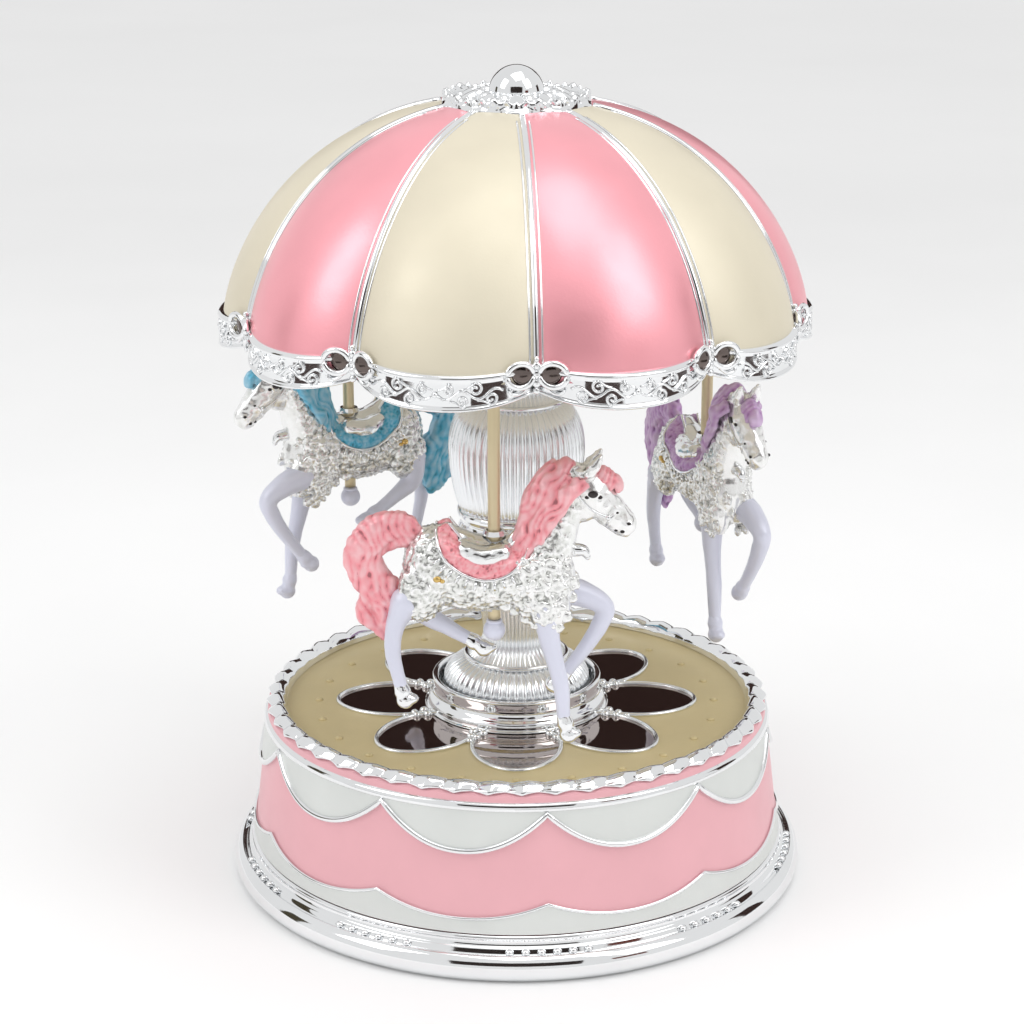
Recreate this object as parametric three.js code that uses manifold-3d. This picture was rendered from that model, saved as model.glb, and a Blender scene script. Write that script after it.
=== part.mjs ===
// Wind-up carousel music box, in millimetres, +Z up.
// The origin is the centre of the circle that the base stands on.
//
// A drum-shaped base holds a spring-driven musical movement. The winding key is in the hollow
// under the base. The spring barrel turns a rod that runs up through the fixed column and carries
// the canopy round. Three poles hang in the canopy. A follower arm on each pole rides over the
// tilted cam disc on top of the column, so the poles rise and fall as the canopy turns. A horse
// sits on each pole and can be swivelled about it.
import * as THREE from "three";
import { mergeVertices } from "three/addons/utils/BufferGeometryUtils.js";
import Module from "manifold-3d";

const wasm = await Module();
wasm.setup();

// ---- driving dimensions ----
const GAP = 0.3; // air left between neighbouring pieces
const SLIVER = 0.02; // features thinner than this are merged away
const HORSE_SLIVER = 0.25; // coarser, since the horses have no fine features
const LOBES = 10; // canopy gores, and swags round the drum
const LOBE_STEP = (2 * Math.PI) / LOBES;
const RIB_ANGLE = THREE.MathUtils.degToRad(3.7); // first canopy rib, from -Y towards +X

const SKIRT_RADIUS = 60;
const SKIRT_TOP = 8.2;
const DRUM_BOTTOM = SKIRT_TOP + GAP;
const DRUM_TOP = 35.8;
const DRUM_BOTTOM_RADIUS = 55.4;
const DRUM_TOP_RADIUS = 52;
const DRUM_WALL = 2;
const FLANGE_TOP = 32.8; // ledge inside the drum that the deck rests on
const FLANGE_THICK = 1.6;
const FLANGE_INNER = 42;
const DECK_TOP = 34.6;
const DECK_RADIUS = 49.4;
const BEZEL_TOP = 38.2;
const BEZEL_LOBES = 50;
const COVER_BOTTOM = 12;
const COVER_THICK = 1.8;
const COVER_TOP = COVER_BOTTOM + COVER_THICK;
const COVER_RADIUS = 52.3;
const POST_CIRCLE = 46.5; // where the cover screws go up into the drum's posts
const POST_RADIUS = 3;
const POST_ANGLES = [30, 150, 270];
const POST_THREAD = 9; // length of a cover screw in its post
const PILOT_RADIUS = 1.3; // hole that a screw bites into
const SCREW_HOLE_RADIUS = 1.5; // hole that a screw passes through
const ROD_HOLE_RADIUS = 6; // in the middle of the deck, for the drive rod

const CANOPY_RADIUS = 59.8; // at the middle of a gore
const RIB_RADIUS = 55.6; // at a rib, at the rim
const DOME_RIM = 120.2;
const DOME_RADIUS = 58.6;
const DOME_FOOT = 117;
const DOME_RISE = 44.25;
const DOME_SPAN = 0.9977; // share of the full rise where the dome stops, under the crown
const DOME_HEIGHT_POWER = 1.65; // the two powers of the superellipse up a gore
const DOME_RADIUS_POWER = 2.45;
const DOME_TOP = DOME_FOOT + DOME_RISE * DOME_SPAN;
const LOBE_DEPTH = 3.1; // of the groove at a rib, at the rim
const LOBE_POWER = 0.8; // under 1 makes a gore rounder and a rib's groove sharper
const DOME_WALL = 1.8;
const VALANCE_TOP_MIDDLE = 119.9;
const VALANCE_BOTTOM_MIDDLE = 113.2;
const VALANCE_BOTTOM_RIB = 116.2;
const CEILING_BOTTOM = 117;
const CEILING_THICK = 1.6;
const CEILING_RADIUS = 52.2;
const BOSS_RADIUS = 2.6; // round each pole's bore
const BOSS_HEIGHT = 2.4;
const CROWN_RADIUS = 15.4; // to the tips of its points
const CROWN_POINTS = 12;
const CROWN_POINT_DEPTH = 1.4;
const CROWN_PLATE = 162; // flat that the finial ball stands on
const CROWN_TOP = 163.1;
const FINIAL_RADIUS = 5.5;
const TOTAL_HEIGHT = 167.6;

const POLE_CIRCLE = 44;
const POLE_RADIUS = 1.2;
const CLEARANCE = 0.3; // round a pin or a shaft in its bore
const MEAN_SEAT_HEIGHT = 86.8; // where a pole meets the saddle, at the middle of its travel
const BALL_RADIUS = 2.1;
const BALL_DROP = 18; // from the seat down to the middle of the ball under the belly
const COLLAR_LIFT = 1.1; // keeps the collar on the pole clear of the horse's back
// angle of the pole from -Y towards +X, and the way the horse faces, from +X, in degrees
const HORSES = [
  { name: "pink", pole: -5.5, heading: 0 },
  { name: "purple", pole: 114.5, heading: -69 },
  { name: "blue", pole: -125.5, heading: 211 },
];

// the tilted cam that lifts the poles
const CAM_RADIUS = 38.5;
const CAM_HEIGHT = 127; // of the middle of its upper face
const CAM_THICK = 1.8;
const CAM_TRACK = 37; // radius at which the follower arms ride
const CAM_LIFT = 2.9; // each way from the middle
const CAM_HIGH_ANGLE = -139.4; // where the cam is highest, in degrees from -Y towards +X
const FOLLOWER_GAP = 0.4;
const FOLLOWER_THICK = 1.6;
const TIP_SHARE = 0.6; // how far a limb's rounded end sticks out, over its radius
const GUIDE_CIRCLE = 47.6; // pins that stop the follower arms from turning
const GUIDE_RADIUS = 0.7;

// the movement
const ROD_RADIUS = 1.5;
const CYLINDER_ARBOR_RADIUS = 0.8;
const GOVERNOR_ARBOR_RADIUS = 0.6;
const BEARING_PLAY = 0.3; // round an arbor in its plate
const PRESSURE_ANGLE = THREE.MathUtils.degToRad(20);
const BED_BOTTOM = COVER_TOP + GAP;
const BED_THICK = 1.6;
const BED_TOP = BED_BOTTOM + BED_THICK;
const ARBOR_RADIUS = 1.6;
const BARREL_RADIUS = 11.2;
const BARREL_BOTTOM = BED_TOP + 0.5;
const CROWN_WHEEL = { teeth: 36, module: 0.5, face: 1.4 };
const CYLINDER_PINION = { teeth: 12, module: 0.5, face: 1.2 };
const CYLINDER_WHEEL = { teeth: 24, module: 0.5, face: 1.2 };
const GOVERNOR_PINION = { teeth: 12, module: 0.5, face: 1.2 };
const WORM_WHEEL = { teeth: 12, module: 0.5, face: 1.1 };
const TOOTH_SHARE = 0.39; // tooth thickness over circular pitch; the rest is backlash
const WORM_RADIUS = 1.6;
const CYLINDER_RADIUS = 6.3;
const CYLINDER_X = [15, 32.5];
const GUIDE_TOP = CAM_HEIGHT + CAM_LIFT + FOLLOWER_THICK + 3;
const COLUMN_NECK = 7.8;
const COLUMN_TOP = 119;
const CAM_HUB_RADIUS = 6.5;
const AXIS_HEIGHT = 24.2; // of the pinned cylinder
const CROWN_WHEEL_RADIUS = (CROWN_WHEEL.teeth * CROWN_WHEEL.module) / 2;
const CROWN_PITCH_PLANE = AXIS_HEIGHT - (CYLINDER_PINION.teeth * CYLINDER_PINION.module) / 2;
const WHEEL_X = 35; // back face of the cylinder's far wheel
const GOVERNOR_Y =
  ((CYLINDER_WHEEL.teeth + GOVERNOR_PINION.teeth) * CYLINDER_WHEEL.module) / 2;
const WORM_X = 38.6;
const WORM_Y = GOVERNOR_Y + (WORM_WHEEL.teeth * WORM_WHEEL.module) / 2 + WORM_RADIUS;
const COMB_TEETH = 18;
const COMB_BACK = -25;
const COMB_SCREWS = [18.5, 29]; // X of the two screws
const COMB_SCREW_Y = -21.7;
const MOVEMENT_SCREWS = [
  [-8, -19],
  [38, -19],
  [20, 14],
];
const PIN_TURN = 2.4; // radians from one track's pin to the next

// ---- materials ----
const finish = (color, roughness, metalness) =>
  new THREE.MeshStandardMaterial({ color, roughness, metalness });
const silver = finish(0xdadde0, 0.12, 0.95);
const satinSilver = finish(0xc9cccc, 0.45, 0.6);
const pink = finish(0xe9a3a8, 0.35, 0.2);
const cream = finish(0xd8cba4, 0.5, 0.1);
const poleCream = finish(0xcbb98a, 0.4, 0.3);
const horseWhite = finish(0xd9dae0, 0.3, 0.4);
const steel = finish(0x8d9297, 0.35, 0.9);
const zinc = finish(0x9a9a94, 0.55, 0.8);
const brass = finish(0xc2a14d, 0.3, 0.9);
const blackPlastic = finish(0x3a3633, 0.6, 0);
const whiteNylon = finish(0xe6e4dc, 0.5, 0);

// ---- helpers ----
const carousel = new THREE.Group();

function add(name, geometry, material) {
  const mesh = new THREE.Mesh(geometry, material);
  mesh.name = name;
  carousel.add(mesh);
  return mesh;
}

// a point on the circle of this radius; the angle runs from -Y towards +X
const around = (radius, angle) => [radius * Math.sin(angle), -radius * Math.cos(angle)];
const POSTS = POST_ANGLES.map((a) => around(POST_CIRCLE, THREE.MathUtils.degToRad(a)));

function solid(geometry, matrix) {
  const source = geometry.index ? geometry.toNonIndexed() : geometry.clone();
  const bare = new THREE.BufferGeometry();
  bare.setAttribute("position", source.getAttribute("position"));
  if (matrix) bare.applyMatrix4(matrix);
  const merged = mergeVertices(bare, 1e-4);
  return new wasm.Manifold(
    new wasm.Mesh({
      numProp: 3,
      vertProperties: merged.attributes.position.array,
      triVerts: new Uint32Array(merged.index.array),
    }),
  );
}

function geometryOf(manifold, sliver = SLIVER) {
  const mesh = manifold.simplify(sliver).getMesh();
  const geometry = new THREE.BufferGeometry();
  geometry.setAttribute("position", new THREE.BufferAttribute(mesh.vertProperties, 3));
  geometry.setIndex(new THREE.BufferAttribute(mesh.triVerts, 1));
  return geometry;
}

const join = (first, ...rest) => rest.reduce((whole, part) => whole.add(part), first);
const cut = (first, ...rest) => rest.reduce((whole, part) => whole.subtract(part), first);
const at = (x, y, z) => new THREE.Matrix4().makeTranslation(x, y, z);

// a solid of revolution about Z; the profile is a closed loop of [radius, z]
function lathe(profile, segments = 64) {
  const loop = profile.map(([r, z]) => new THREE.Vector2(r, z));
  const closed = profile[0][0] < 1e-6 && profile.at(-1)[0] < 1e-6;
  if (!closed) loop.push(loop[0].clone());
  const geometry = new THREE.LatheGeometry(loop, segments);
  geometry.rotateX(Math.PI / 2);
  return outward(geometry);
}

// the solid of this closed skin, with its faces turned outwards
function outward(geometry) {
  const made = solid(geometry);
  return made.volume() < 0 ? solid(flip(geometry)) : made;
}

function flip(geometry) {
  const turned = geometry.index ? geometry.toNonIndexed() : geometry.clone();
  const p = turned.attributes.position;
  for (let i = 0; i < p.count; i += 3) {
    const a = new THREE.Vector3().fromBufferAttribute(p, i + 1);
    const b = new THREE.Vector3().fromBufferAttribute(p, i + 2);
    p.setXYZ(i + 1, b.x, b.y, b.z);
    p.setXYZ(i + 2, a.x, a.y, a.z);
  }
  return turned;
}

function cylinder(radius, bottom, top, x = 0, y = 0, segments = 18) {
  const geometry = new THREE.CylinderGeometry(radius, radius, top - bottom, segments);
  geometry.rotateX(Math.PI / 2);
  return solid(geometry, at(x, y, (bottom + top) / 2));
}

// a cylinder along X, from x0 to x1
function rodAlongX(radius, x0, x1, y, z, segments = 12) {
  const geometry = new THREE.CylinderGeometry(radius, radius, x1 - x0, segments);
  geometry.rotateZ(Math.PI / 2);
  return solid(geometry, at((x0 + x1) / 2, y, z));
}

function box(x0, x1, y0, y1, z0, z1) {
  const geometry = new THREE.BoxGeometry(x1 - x0, y1 - y0, z1 - z0);
  return solid(geometry, at((x0 + x1) / 2, (y0 + y1) / 2, (z0 + z1) / 2));
}

function extrude(points, depth) {
  const shape = new THREE.Shape(points.map(([x, y]) => new THREE.Vector2(x, y)));
  return new THREE.ExtrudeGeometry(shape, { depth, bevelEnabled: false });
}

// a closed skin round Z whose section is a closed loop of [radius, z] that depends on the angle
function lobedRing(section, segments) {
  const count = section(0).length;
  const position = [];
  const index = [];
  for (let i = 0; i < segments; i++) {
    const angle = RIB_ANGLE + (2 * Math.PI * i) / segments;
    for (const [radius, z] of section(angle)) position.push(...around(radius, angle), z);
  }
  for (let i = 0; i < segments; i++)
    for (let j = 0; j < count; j++) {
      const [a, b] = [i, (i + 1) % segments].map((k) => k * count);
      const k = (j + 1) % count;
      index.push(a + j, b + j, b + k, a + j, b + k, a + k);
    }
  const geometry = new THREE.BufferGeometry();
  geometry.setAttribute("position", new THREE.Float32BufferAttribute(position, 3));
  geometry.setIndex(index);
  return outward(geometry);
}

// 0 at a rib and 1 at the middle of a gore
const goreShare = (angle) =>
  Math.abs(Math.sin(((angle - RIB_ANGLE) * LOBES) / 2)) ** LOBE_POWER;

// ---- the base ----
function baseSkirt() {
  const outer = [
    [56.4, 0],
    [58.6, 0],
    [59.7, 1.1],
    [SKIRT_RADIUS, 2.6],
    [59.4, 4.4],
    [57.7, 5.6],
    [56.2, 6.6],
    [55.8, SKIRT_TOP],
  ];
  const inner = [
    [53.6, SKIRT_TOP],
    [53.6, 6],
    [56.4, 3.6],
  ];
  return lathe([...outer, ...inner], 48);
}

function drumShell() {
  const radius = (z) =>
    THREE.MathUtils.mapLinear(z, DRUM_BOTTOM, DRUM_TOP, DRUM_BOTTOM_RADIUS, DRUM_TOP_RADIUS);
  const ledge = 0.5;
  const wall = lathe(
    [
      [radius(DRUM_BOTTOM), DRUM_BOTTOM],
      [radius(32.8), 32.8],
      [radius(33) + ledge, 33.1],
      [radius(34) + ledge, 34],
      [radius(34.3), 34.3],
      [radius(DRUM_TOP), DRUM_TOP],
      [radius(DRUM_TOP) - DRUM_WALL, DRUM_TOP],
      [radius(FLANGE_TOP) - DRUM_WALL, FLANGE_TOP],
      [FLANGE_INNER, FLANGE_TOP],
      [FLANGE_INNER, FLANGE_TOP - FLANGE_THICK],
      [radius(FLANGE_TOP - FLANGE_THICK) - DRUM_WALL, FLANGE_TOP - FLANGE_THICK],
      [radius(DRUM_BOTTOM) - DRUM_WALL, DRUM_BOTTOM],
    ],
    48,
  );
  const bottom = COVER_TOP + GAP;
  const posts = POSTS.map(([x, y]) =>
    cylinder(POST_RADIUS, bottom, FLANGE_TOP - ledge, x, y, 12),
  );
  const pilots = POSTS.map(([x, y]) =>
    cylinder(PILOT_RADIUS, bottom - 1, bottom + POST_THREAD, x, y, 12),
  );
  return cut(join(wall, ...posts), ...pilots);
}

function deckPlate() {
  const bottom = FLANGE_TOP + GAP;
  return lathe(
    [
      [ROD_HOLE_RADIUS, bottom],
      [DECK_RADIUS, bottom],
      [DECK_RADIUS, DECK_TOP],
      [ROD_HOLE_RADIUS, DECK_TOP],
    ],
    48,
  );
}

// the gadrooned ring round the deck
function deckBezel() {
  const lobe = (angle) => Math.abs(Math.cos((angle * BEZEL_LOBES) / 2));
  const section = (angle) => [
    [DRUM_TOP_RADIUS - 4.4, DRUM_TOP + GAP],
    [DRUM_TOP_RADIUS - 0.7 + 0.7 * lobe(angle), DRUM_TOP + GAP],
    [DRUM_TOP_RADIUS - 2, BEZEL_TOP - 0.6 + 0.6 * lobe(angle)],
    [DRUM_TOP_RADIUS - 3.8, BEZEL_TOP - 1.2],
  ];
  return lobedRing(section, BEZEL_LOBES * 2);
}

function bottomCover() {
  const keyHole = 4;
  const holes = [...POSTS, ...MOVEMENT_SCREWS].map(([x, y]) =>
    cylinder(SCREW_HOLE_RADIUS, COVER_BOTTOM - 1, COVER_TOP + 1, x, y, 12),
  );
  const disc = lathe(
    [
      [keyHole, COVER_BOTTOM],
      [COVER_RADIUS, COVER_BOTTOM],
      [COVER_RADIUS, COVER_TOP],
      [keyHole, COVER_TOP],
    ],
    40,
  );
  return cut(disc, ...holes);
}

// a pan-head screw with its head under a face and its shank going up
function screwUp(x, y, face, length) {
  const profile = [
    [0, face - GAP - 1.3],
    [2.2, face - GAP - 1],
    [2.5, face - GAP],
    [1, face - GAP],
    [1, face + length],
    [0, face + length + 0.6],
  ];
  const slot = box(-3, 3, -0.3, 0.3, face - GAP - 2, face - GAP - 0.7);
  return cut(lathe(profile, 10), slot).translate([x, y, 0]);
}

// ---- the musical movement ----
function involute(radius, baseRadius) {
  const t = Math.sqrt(Math.max(0, (radius / baseRadius) ** 2 - 1));
  return t - Math.atan(t);
}

// outline of a spur wheel with a tooth on its +X axis
function wheelOutline({ teeth, module }) {
  const pitch = (teeth * module) / 2;
  const base = pitch * Math.cos(PRESSURE_ANGLE);
  const root = pitch - 1.15 * module;
  const tip = pitch + 0.8 * module;
  const half = (Math.PI * TOOTH_SHARE) / teeth;
  const flank = [];
  for (const share of [0, 0.55, 1]) {
    const r = Math.max(base, root) + share * (tip - Math.max(base, root));
    flank.push([r, Math.max(0.02, half + involute(pitch, base) - involute(r, base))]);
  }
  const points = [];
  flank[0][0] = root;
  for (let i = 0; i < teeth; i++) {
    const middle = (2 * Math.PI * i) / teeth;
    for (const [r, a] of flank) points.push([r, middle - a]);
    for (const [r, a] of flank.toReversed()) points.push([r, middle + a]);
  }
  return points.map(([r, a]) => [r * Math.cos(a), r * Math.sin(a)]);
}

// a spur wheel whose axis runs along +X; `turn` is the angle of a tooth from +Y towards +Z
function wheelAlongX(wheel, x0, y, z, turn, bore) {
  const geometry = extrude(wheelOutline(wheel), wheel.face);
  const matrix = new THREE.Matrix4().makeBasis(
    new THREE.Vector3(0, 1, 0),
    new THREE.Vector3(0, 0, 1),
    new THREE.Vector3(1, 0, 0),
  );
  const spin = new THREE.Matrix4().makeRotationZ(turn);
  const made = solid(geometry, at(x0, y, z).multiply(matrix).multiply(spin));
  return cut(made, rodAlongX(bore, x0 - 1, x0 + wheel.face + 1, y, z));
}

// one tooth of the contrate wheel: a wedge standing on the wheel's upper face
function crownTooth(angle) {
  const { teeth, module, face } = CROWN_WHEEL;
  const slope = Math.tan(PRESSURE_ANGLE);
  const root = CROWN_PITCH_PLANE - 1.3 * module;
  const tip = CROWN_PITCH_PLANE + 0.75 * module;
  const half = (CROWN_WHEEL_RADIUS * Math.PI * TOOTH_SHARE) / teeth;
  const width = (z) => (half + (CROWN_PITCH_PLANE - z) * slope) / CROWN_WHEEL_RADIUS;
  const corner = [];
  for (const radius of [CROWN_WHEEL_RADIUS - face / 2, CROWN_WHEEL_RADIUS + face / 2])
    for (const z of [root, tip])
      for (const side of [-1, 1]) {
        const a = angle + side * width(z);
        corner.push(new THREE.Vector3(radius * Math.cos(a), radius * Math.sin(a), z));
      }
  const faces = [
    [0, 1, 3, 2],
    [4, 6, 7, 5],
    [0, 4, 5, 1],
    [2, 3, 7, 6],
    [0, 2, 6, 4],
    [1, 5, 7, 3],
  ];
  const geometry = new THREE.BufferGeometry().setFromPoints(
    faces.flatMap(([a, b, c, d]) => [a, b, c, a, c, d].map((i) => corner[i])),
  );
  return outward(geometry);
}

function springBarrel() {
  const top = CROWN_PITCH_PLANE - 1.3 * CROWN_WHEEL.module - 0.5 - GAP;
  return lathe(
    [
      [ARBOR_RADIUS + CLEARANCE, BARREL_BOTTOM],
      [BARREL_RADIUS, BARREL_BOTTOM],
      [BARREL_RADIUS, top],
      [BARREL_RADIUS - 1, top],
      [BARREL_RADIUS - 1, BARREL_BOTTOM + 0.9],
      [ARBOR_RADIUS + CLEARANCE, BARREL_BOTTOM + 0.9],
    ],
    32,
  );
}

// the barrel's lid, with contrate teeth on top and a hub that grips the drive rod
function crownWheel() {
  const top = CROWN_PITCH_PLANE - 1.2 * CROWN_WHEEL.module;
  const disc = lathe(
    [
      [ROD_RADIUS + CLEARANCE, top - 0.6],
      [BARREL_RADIUS, top - 0.6],
      [BARREL_RADIUS, top],
      [3.6, top],
      [3.6, AXIS_HEIGHT],
      [ROD_RADIUS + CLEARANCE, AXIS_HEIGHT],
    ],
    36,
  );
  const step = (2 * Math.PI) / CROWN_WHEEL.teeth;
  const teeth = [];
  for (let i = 0; i < CROWN_WHEEL.teeth; i++) teeth.push(crownTooth((i + 0.5) * step));
  return join(disc, ...teeth);
}

function mainspring() {
  const turns = 3.5;
  const steps = 42;
  const strip = 0.5;
  const [first, last] = [4, BARREL_RADIUS - 2];
  const spiral = (t, offset) => {
    const radius = first + (last - first) * t + offset;
    const angle = 2 * Math.PI * turns * t;
    return [radius * Math.cos(angle), radius * Math.sin(angle)];
  };
  const points = [];
  for (let i = 0; i <= steps; i++) points.push(spiral(i / steps, 0));
  for (let i = steps; i >= 0; i--) points.push(spiral(i / steps, strip));
  const bottom = BARREL_BOTTOM + 1.3;
  return solid(extrude(points, 2.2), at(0, 0, bottom));
}

function windingArbor() {
  const top = BARREL_BOTTOM + 3.4;
  return lathe(
    [
      [0, COVER_BOTTOM - 3.6],
      [ARBOR_RADIUS, COVER_BOTTOM - 3.6],
      [ARBOR_RADIUS, top - 2],
      [2.6, top - 2],
      [2.6, top],
      [0, top],
    ],
    24,
  );
}

// a butterfly key on a round hub
function windingKey() {
  const [bottom, top] = [2.4, COVER_BOTTOM - 0.5];
  const wingThick = 1.6;
  const wingMiddle = [8.4, 5.9];
  const wingHalf = [4.6, 3.4];
  const hub = lathe(
    [
      [0, bottom],
      [3.2, bottom],
      [3.2, top],
      [ARBOR_RADIUS + CLEARANCE, top],
      [ARBOR_RADIUS + CLEARANCE, COVER_BOTTOM - 3.9],
      [0, COVER_BOTTOM - 3.9],
    ],
    24,
  );
  const wing = [];
  for (let i = 0; i <= 14; i++) {
    const a = THREE.MathUtils.degToRad(-140 + 20 * i);
    wing.push([
      wingMiddle[0] + wingHalf[0] * Math.cos(a),
      wingMiddle[1] + wingHalf[1] * Math.sin(a),
    ]);
  }
  wing.push([1, 7.4], [1, 4.4]);
  const blade = extrude(wing, wingThick);
  const eye = cylinder(1.7, -1, wingThick + 1, 8.8, wingMiddle[1], 16);
  const flat = cut(solid(blade), eye);
  const one = flat.rotate([90, 0, 0]).translate([0, wingThick / 2, 0]);
  const other = one.rotate([0, 0, 180]);
  return join(hub, one, other).rotate([0, 0, 90]);
}

class Helix extends THREE.Curve {
  constructor(radius, bottom, pitch, turns) {
    super();
    Object.assign(this, { radius, bottom, pitch, turns });
  }
  getPoint(t, target = new THREE.Vector3()) {
    const a = 2 * Math.PI * this.turns * t;
    return target.set(
      this.radius * Math.cos(a),
      this.radius * Math.sin(a),
      this.bottom + this.pitch * this.turns * t,
    );
  }
}

// the wrap spring that stops the winding arbor from turning back
function clutchSpring() {
  const wire = 0.3;
  const section = [];
  for (let i = 0; i < 6; i++) {
    const a = (Math.PI * i) / 3;
    section.push(new THREE.Vector2(wire * Math.cos(a), wire * Math.sin(a)));
  }
  const helix = new Helix(ARBOR_RADIUS + 0.9, COVER_BOTTOM + 0.4, 0.75, 1.6);
  return new THREE.ExtrudeGeometry(new THREE.Shape(section), {
    steps: 24,
    extrudePath: helix,
    bevelEnabled: false,
  });
}

function bedplate() {
  const plate = box(-15, 44.6, -25.4, 18.4, BED_BOTTOM, BED_TOP);
  const [left, right] = CYLINDER_X;
  const anvil = box(left, right, COMB_BACK, -18.4, BED_TOP - 0.2, AXIS_HEIGHT - 0.7);
  const bearing = cylinder(ARBOR_RADIUS + CLEARANCE, BED_BOTTOM - 1, BED_TOP + 1);
  const combPilots = COMB_SCREWS.map((x) =>
    cylinder(1, AXIS_HEIGHT - 6, AXIS_HEIGHT, x, COMB_SCREW_Y, 12),
  );
  const pilots = MOVEMENT_SCREWS.map(([x, y]) =>
    cylinder(PILOT_RADIUS, BED_BOTTOM - 1, BED_TOP + 1, x, y, 12),
  );
  return cut(join(plate, anvil), bearing, ...pilots, ...combPilots);
}

// a plate with one side cut into teeth, which get shorter towards the high notes
function comb() {
  const [x0, x1] = CYLINDER_X;
  const tipY = -(CYLINDER_RADIUS + 0.9);
  const pitch = (x1 - x0) / COMB_TEETH;
  const toothWidth = 0.72; // share of the pitch
  const rootY = (tooth) => -16 + 0.16 * tooth;
  const points = [[x0, COMB_BACK]];
  for (let i = 0; i < COMB_TEETH; i++) {
    const [left, right] = [x0 + pitch * i, x0 + pitch * (i + toothWidth)];
    const slotEnd = rootY(i);
    if (i > 0) points.push([left, slotEnd]);
    points.push([left, tipY], [right, tipY], [right, slotEnd]);
  }
  points.push([x1, rootY(COMB_TEETH)], [x1, COMB_BACK]);
  const plate = solid(extrude(points, 0.9), at(0, 0, AXIS_HEIGHT - 0.4));
  const holes = COMB_SCREWS.map((x) =>
    cylinder(1.2, AXIS_HEIGHT - 2, AXIS_HEIGHT + 2, x, COMB_SCREW_Y, 12),
  );
  return cut(plate, ...holes);
}

function combScrew(x) {
  const face = AXIS_HEIGHT + 0.5 + GAP;
  const profile = [
    [0, AXIS_HEIGHT - 5],
    [0.7, AXIS_HEIGHT - 4.4],
    [0.7, face],
    [2, face],
    [2, face + 1],
    [0, face + 1.4],
  ];
  const slot = box(-3, 3, -0.25, 0.25, face + 0.7, face + 2);
  return cut(lathe(profile, 10), slot).translate([x, COMB_SCREW_Y, 0]);
}

// the pinned cylinder: each track carries a few pins, spread by a fixed step
function pinnedCylinder() {
  const [x0, x1] = CYLINDER_X;
  const pitch = (x1 - x0) / COMB_TEETH;
  const bodyLeft = x0 + GAP;
  const bodyRight = x1 - GAP;
  const body = rodAlongX(CYLINDER_RADIUS, bodyLeft, bodyRight, 0, AXIS_HEIGHT, 36);
  const pins = [];
  for (let track = 0; track < COMB_TEETH; track++) {
    const x = x0 + pitch * (track + 0.36);
    const pin = new THREE.BoxGeometry(0.35, 0.9, 0.35);
    const matrix = at(x, 0, AXIS_HEIGHT)
      .multiply(new THREE.Matrix4().makeRotationX(track * PIN_TURN))
      .multiply(at(0, CYLINDER_RADIUS + 0.05, 0));
    if (x > bodyLeft + 0.3 && x < bodyRight - 0.3) pins.push(solid(pin, matrix));
  }
  const bore = rodAlongX(CYLINDER_ARBOR_RADIUS + GAP, x0 - 1, x1 + 1, 0, AXIS_HEIGHT);
  return cut(join(body, ...pins), bore);
}

// a plate that stands across X with round bearings in it
function bearingPlate(x0, x1, y0, y1, top, bores) {
  const plate = box(x0, x1, y0, y1, BED_TOP + GAP, top);
  return cut(plate, ...bores.map(([y, z, r]) => rodAlongX(r, x0 - 1, x1 + 1, y, z)));
}

// the bridge over the barrel, whose bush steadies the drive rod
function barrelBridge() {
  const [under, top] = [25.6, 27.2];
  const strap = box(-3.5, 3.5, -14.6, 14.6, under, top);
  const legs = [-14.6, 13.0].map((y) => box(-3.5, 3.5, y, y + 1.6, BED_TOP + GAP, under + 0.1));
  return cut(join(strap, ...legs), cylinder(ROD_RADIUS + CLEARANCE, under - 1, top + 1));
}

// a worm: a right-handed thread round Z with a groove on its -Y side at the wheel's height
function governorWorm() {
  const lead = Math.PI * WORM_WHEEL.module;
  const [bottom, top] = [21.1, 27.4];
  const rows = 26;
  const sides = 12;
  const height = 0.9;
  const slope = 0.42; // share of the lead taken by each flank
  const radius = (angle, z) => {
    const phase = (z - AXIS_HEIGHT) / lead - (angle + Math.PI / 2) / (2 * Math.PI) + 0.5;
    const off = Math.abs(phase - Math.round(phase)) * 2; // 0 on the crest, 1 in the groove
    const rise = THREE.MathUtils.clamp((0.72 - off) / slope, 0, 1);
    return WORM_RADIUS - 0.55 + height * rise;
  };
  const position = [];
  const index = [];
  for (let j = 0; j <= rows; j++) {
    const z = bottom + ((top - bottom) * j) / rows;
    for (let i = 0; i < sides; i++) {
      const a = (2 * Math.PI * i) / sides;
      const r = radius(a, z);
      position.push(r * Math.cos(a), r * Math.sin(a), z);
    }
  }
  for (let j = 0; j < rows; j++)
    for (let i = 0; i < sides; i++) {
      const [a, b] = [j * sides + i, j * sides + ((i + 1) % sides)];
      const [c, d] = [a + sides, b + sides];
      index.push(a, b, d, a, d, c);
    }
  const last = position.length / 3;
  position.push(0, 0, bottom, 0, 0, top);
  for (let i = 0; i < sides; i++) {
    const k = (i + 1) % sides;
    index.push(last, k, i, last + 1, rows * sides + i, rows * sides + k);
  }
  const geometry = new THREE.BufferGeometry();
  geometry.setAttribute("position", new THREE.Float32BufferAttribute(position, 3));
  geometry.setIndex(index);
  const lower = cylinder(GOVERNOR_ARBOR_RADIUS, BED_TOP + 0.9, bottom + 0.2, 0, 0, 12);
  const upper = cylinder(GOVERNOR_ARBOR_RADIUS, top - 0.2, 29.4, 0, 0, 12);
  return join(solid(geometry), lower, upper).translate([WORM_X, WORM_Y, 0]);
}

// the two-bladed air brake on the worm's lower end
function airBrake() {
  const [bottom, top] = [18.0, 20.6];
  const hub = cylinder(1.4, bottom, top, 0, 0, 16);
  const blades = box(-3.4, 3.4, -0.25, 0.25, bottom, top);
  const bore = cylinder(GOVERNOR_ARBOR_RADIUS + GAP, bottom - 1, top + 1, 0, 0, 12);
  return cut(join(hub, blades), bore).translate([WORM_X, WORM_Y, 0]);
}

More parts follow.
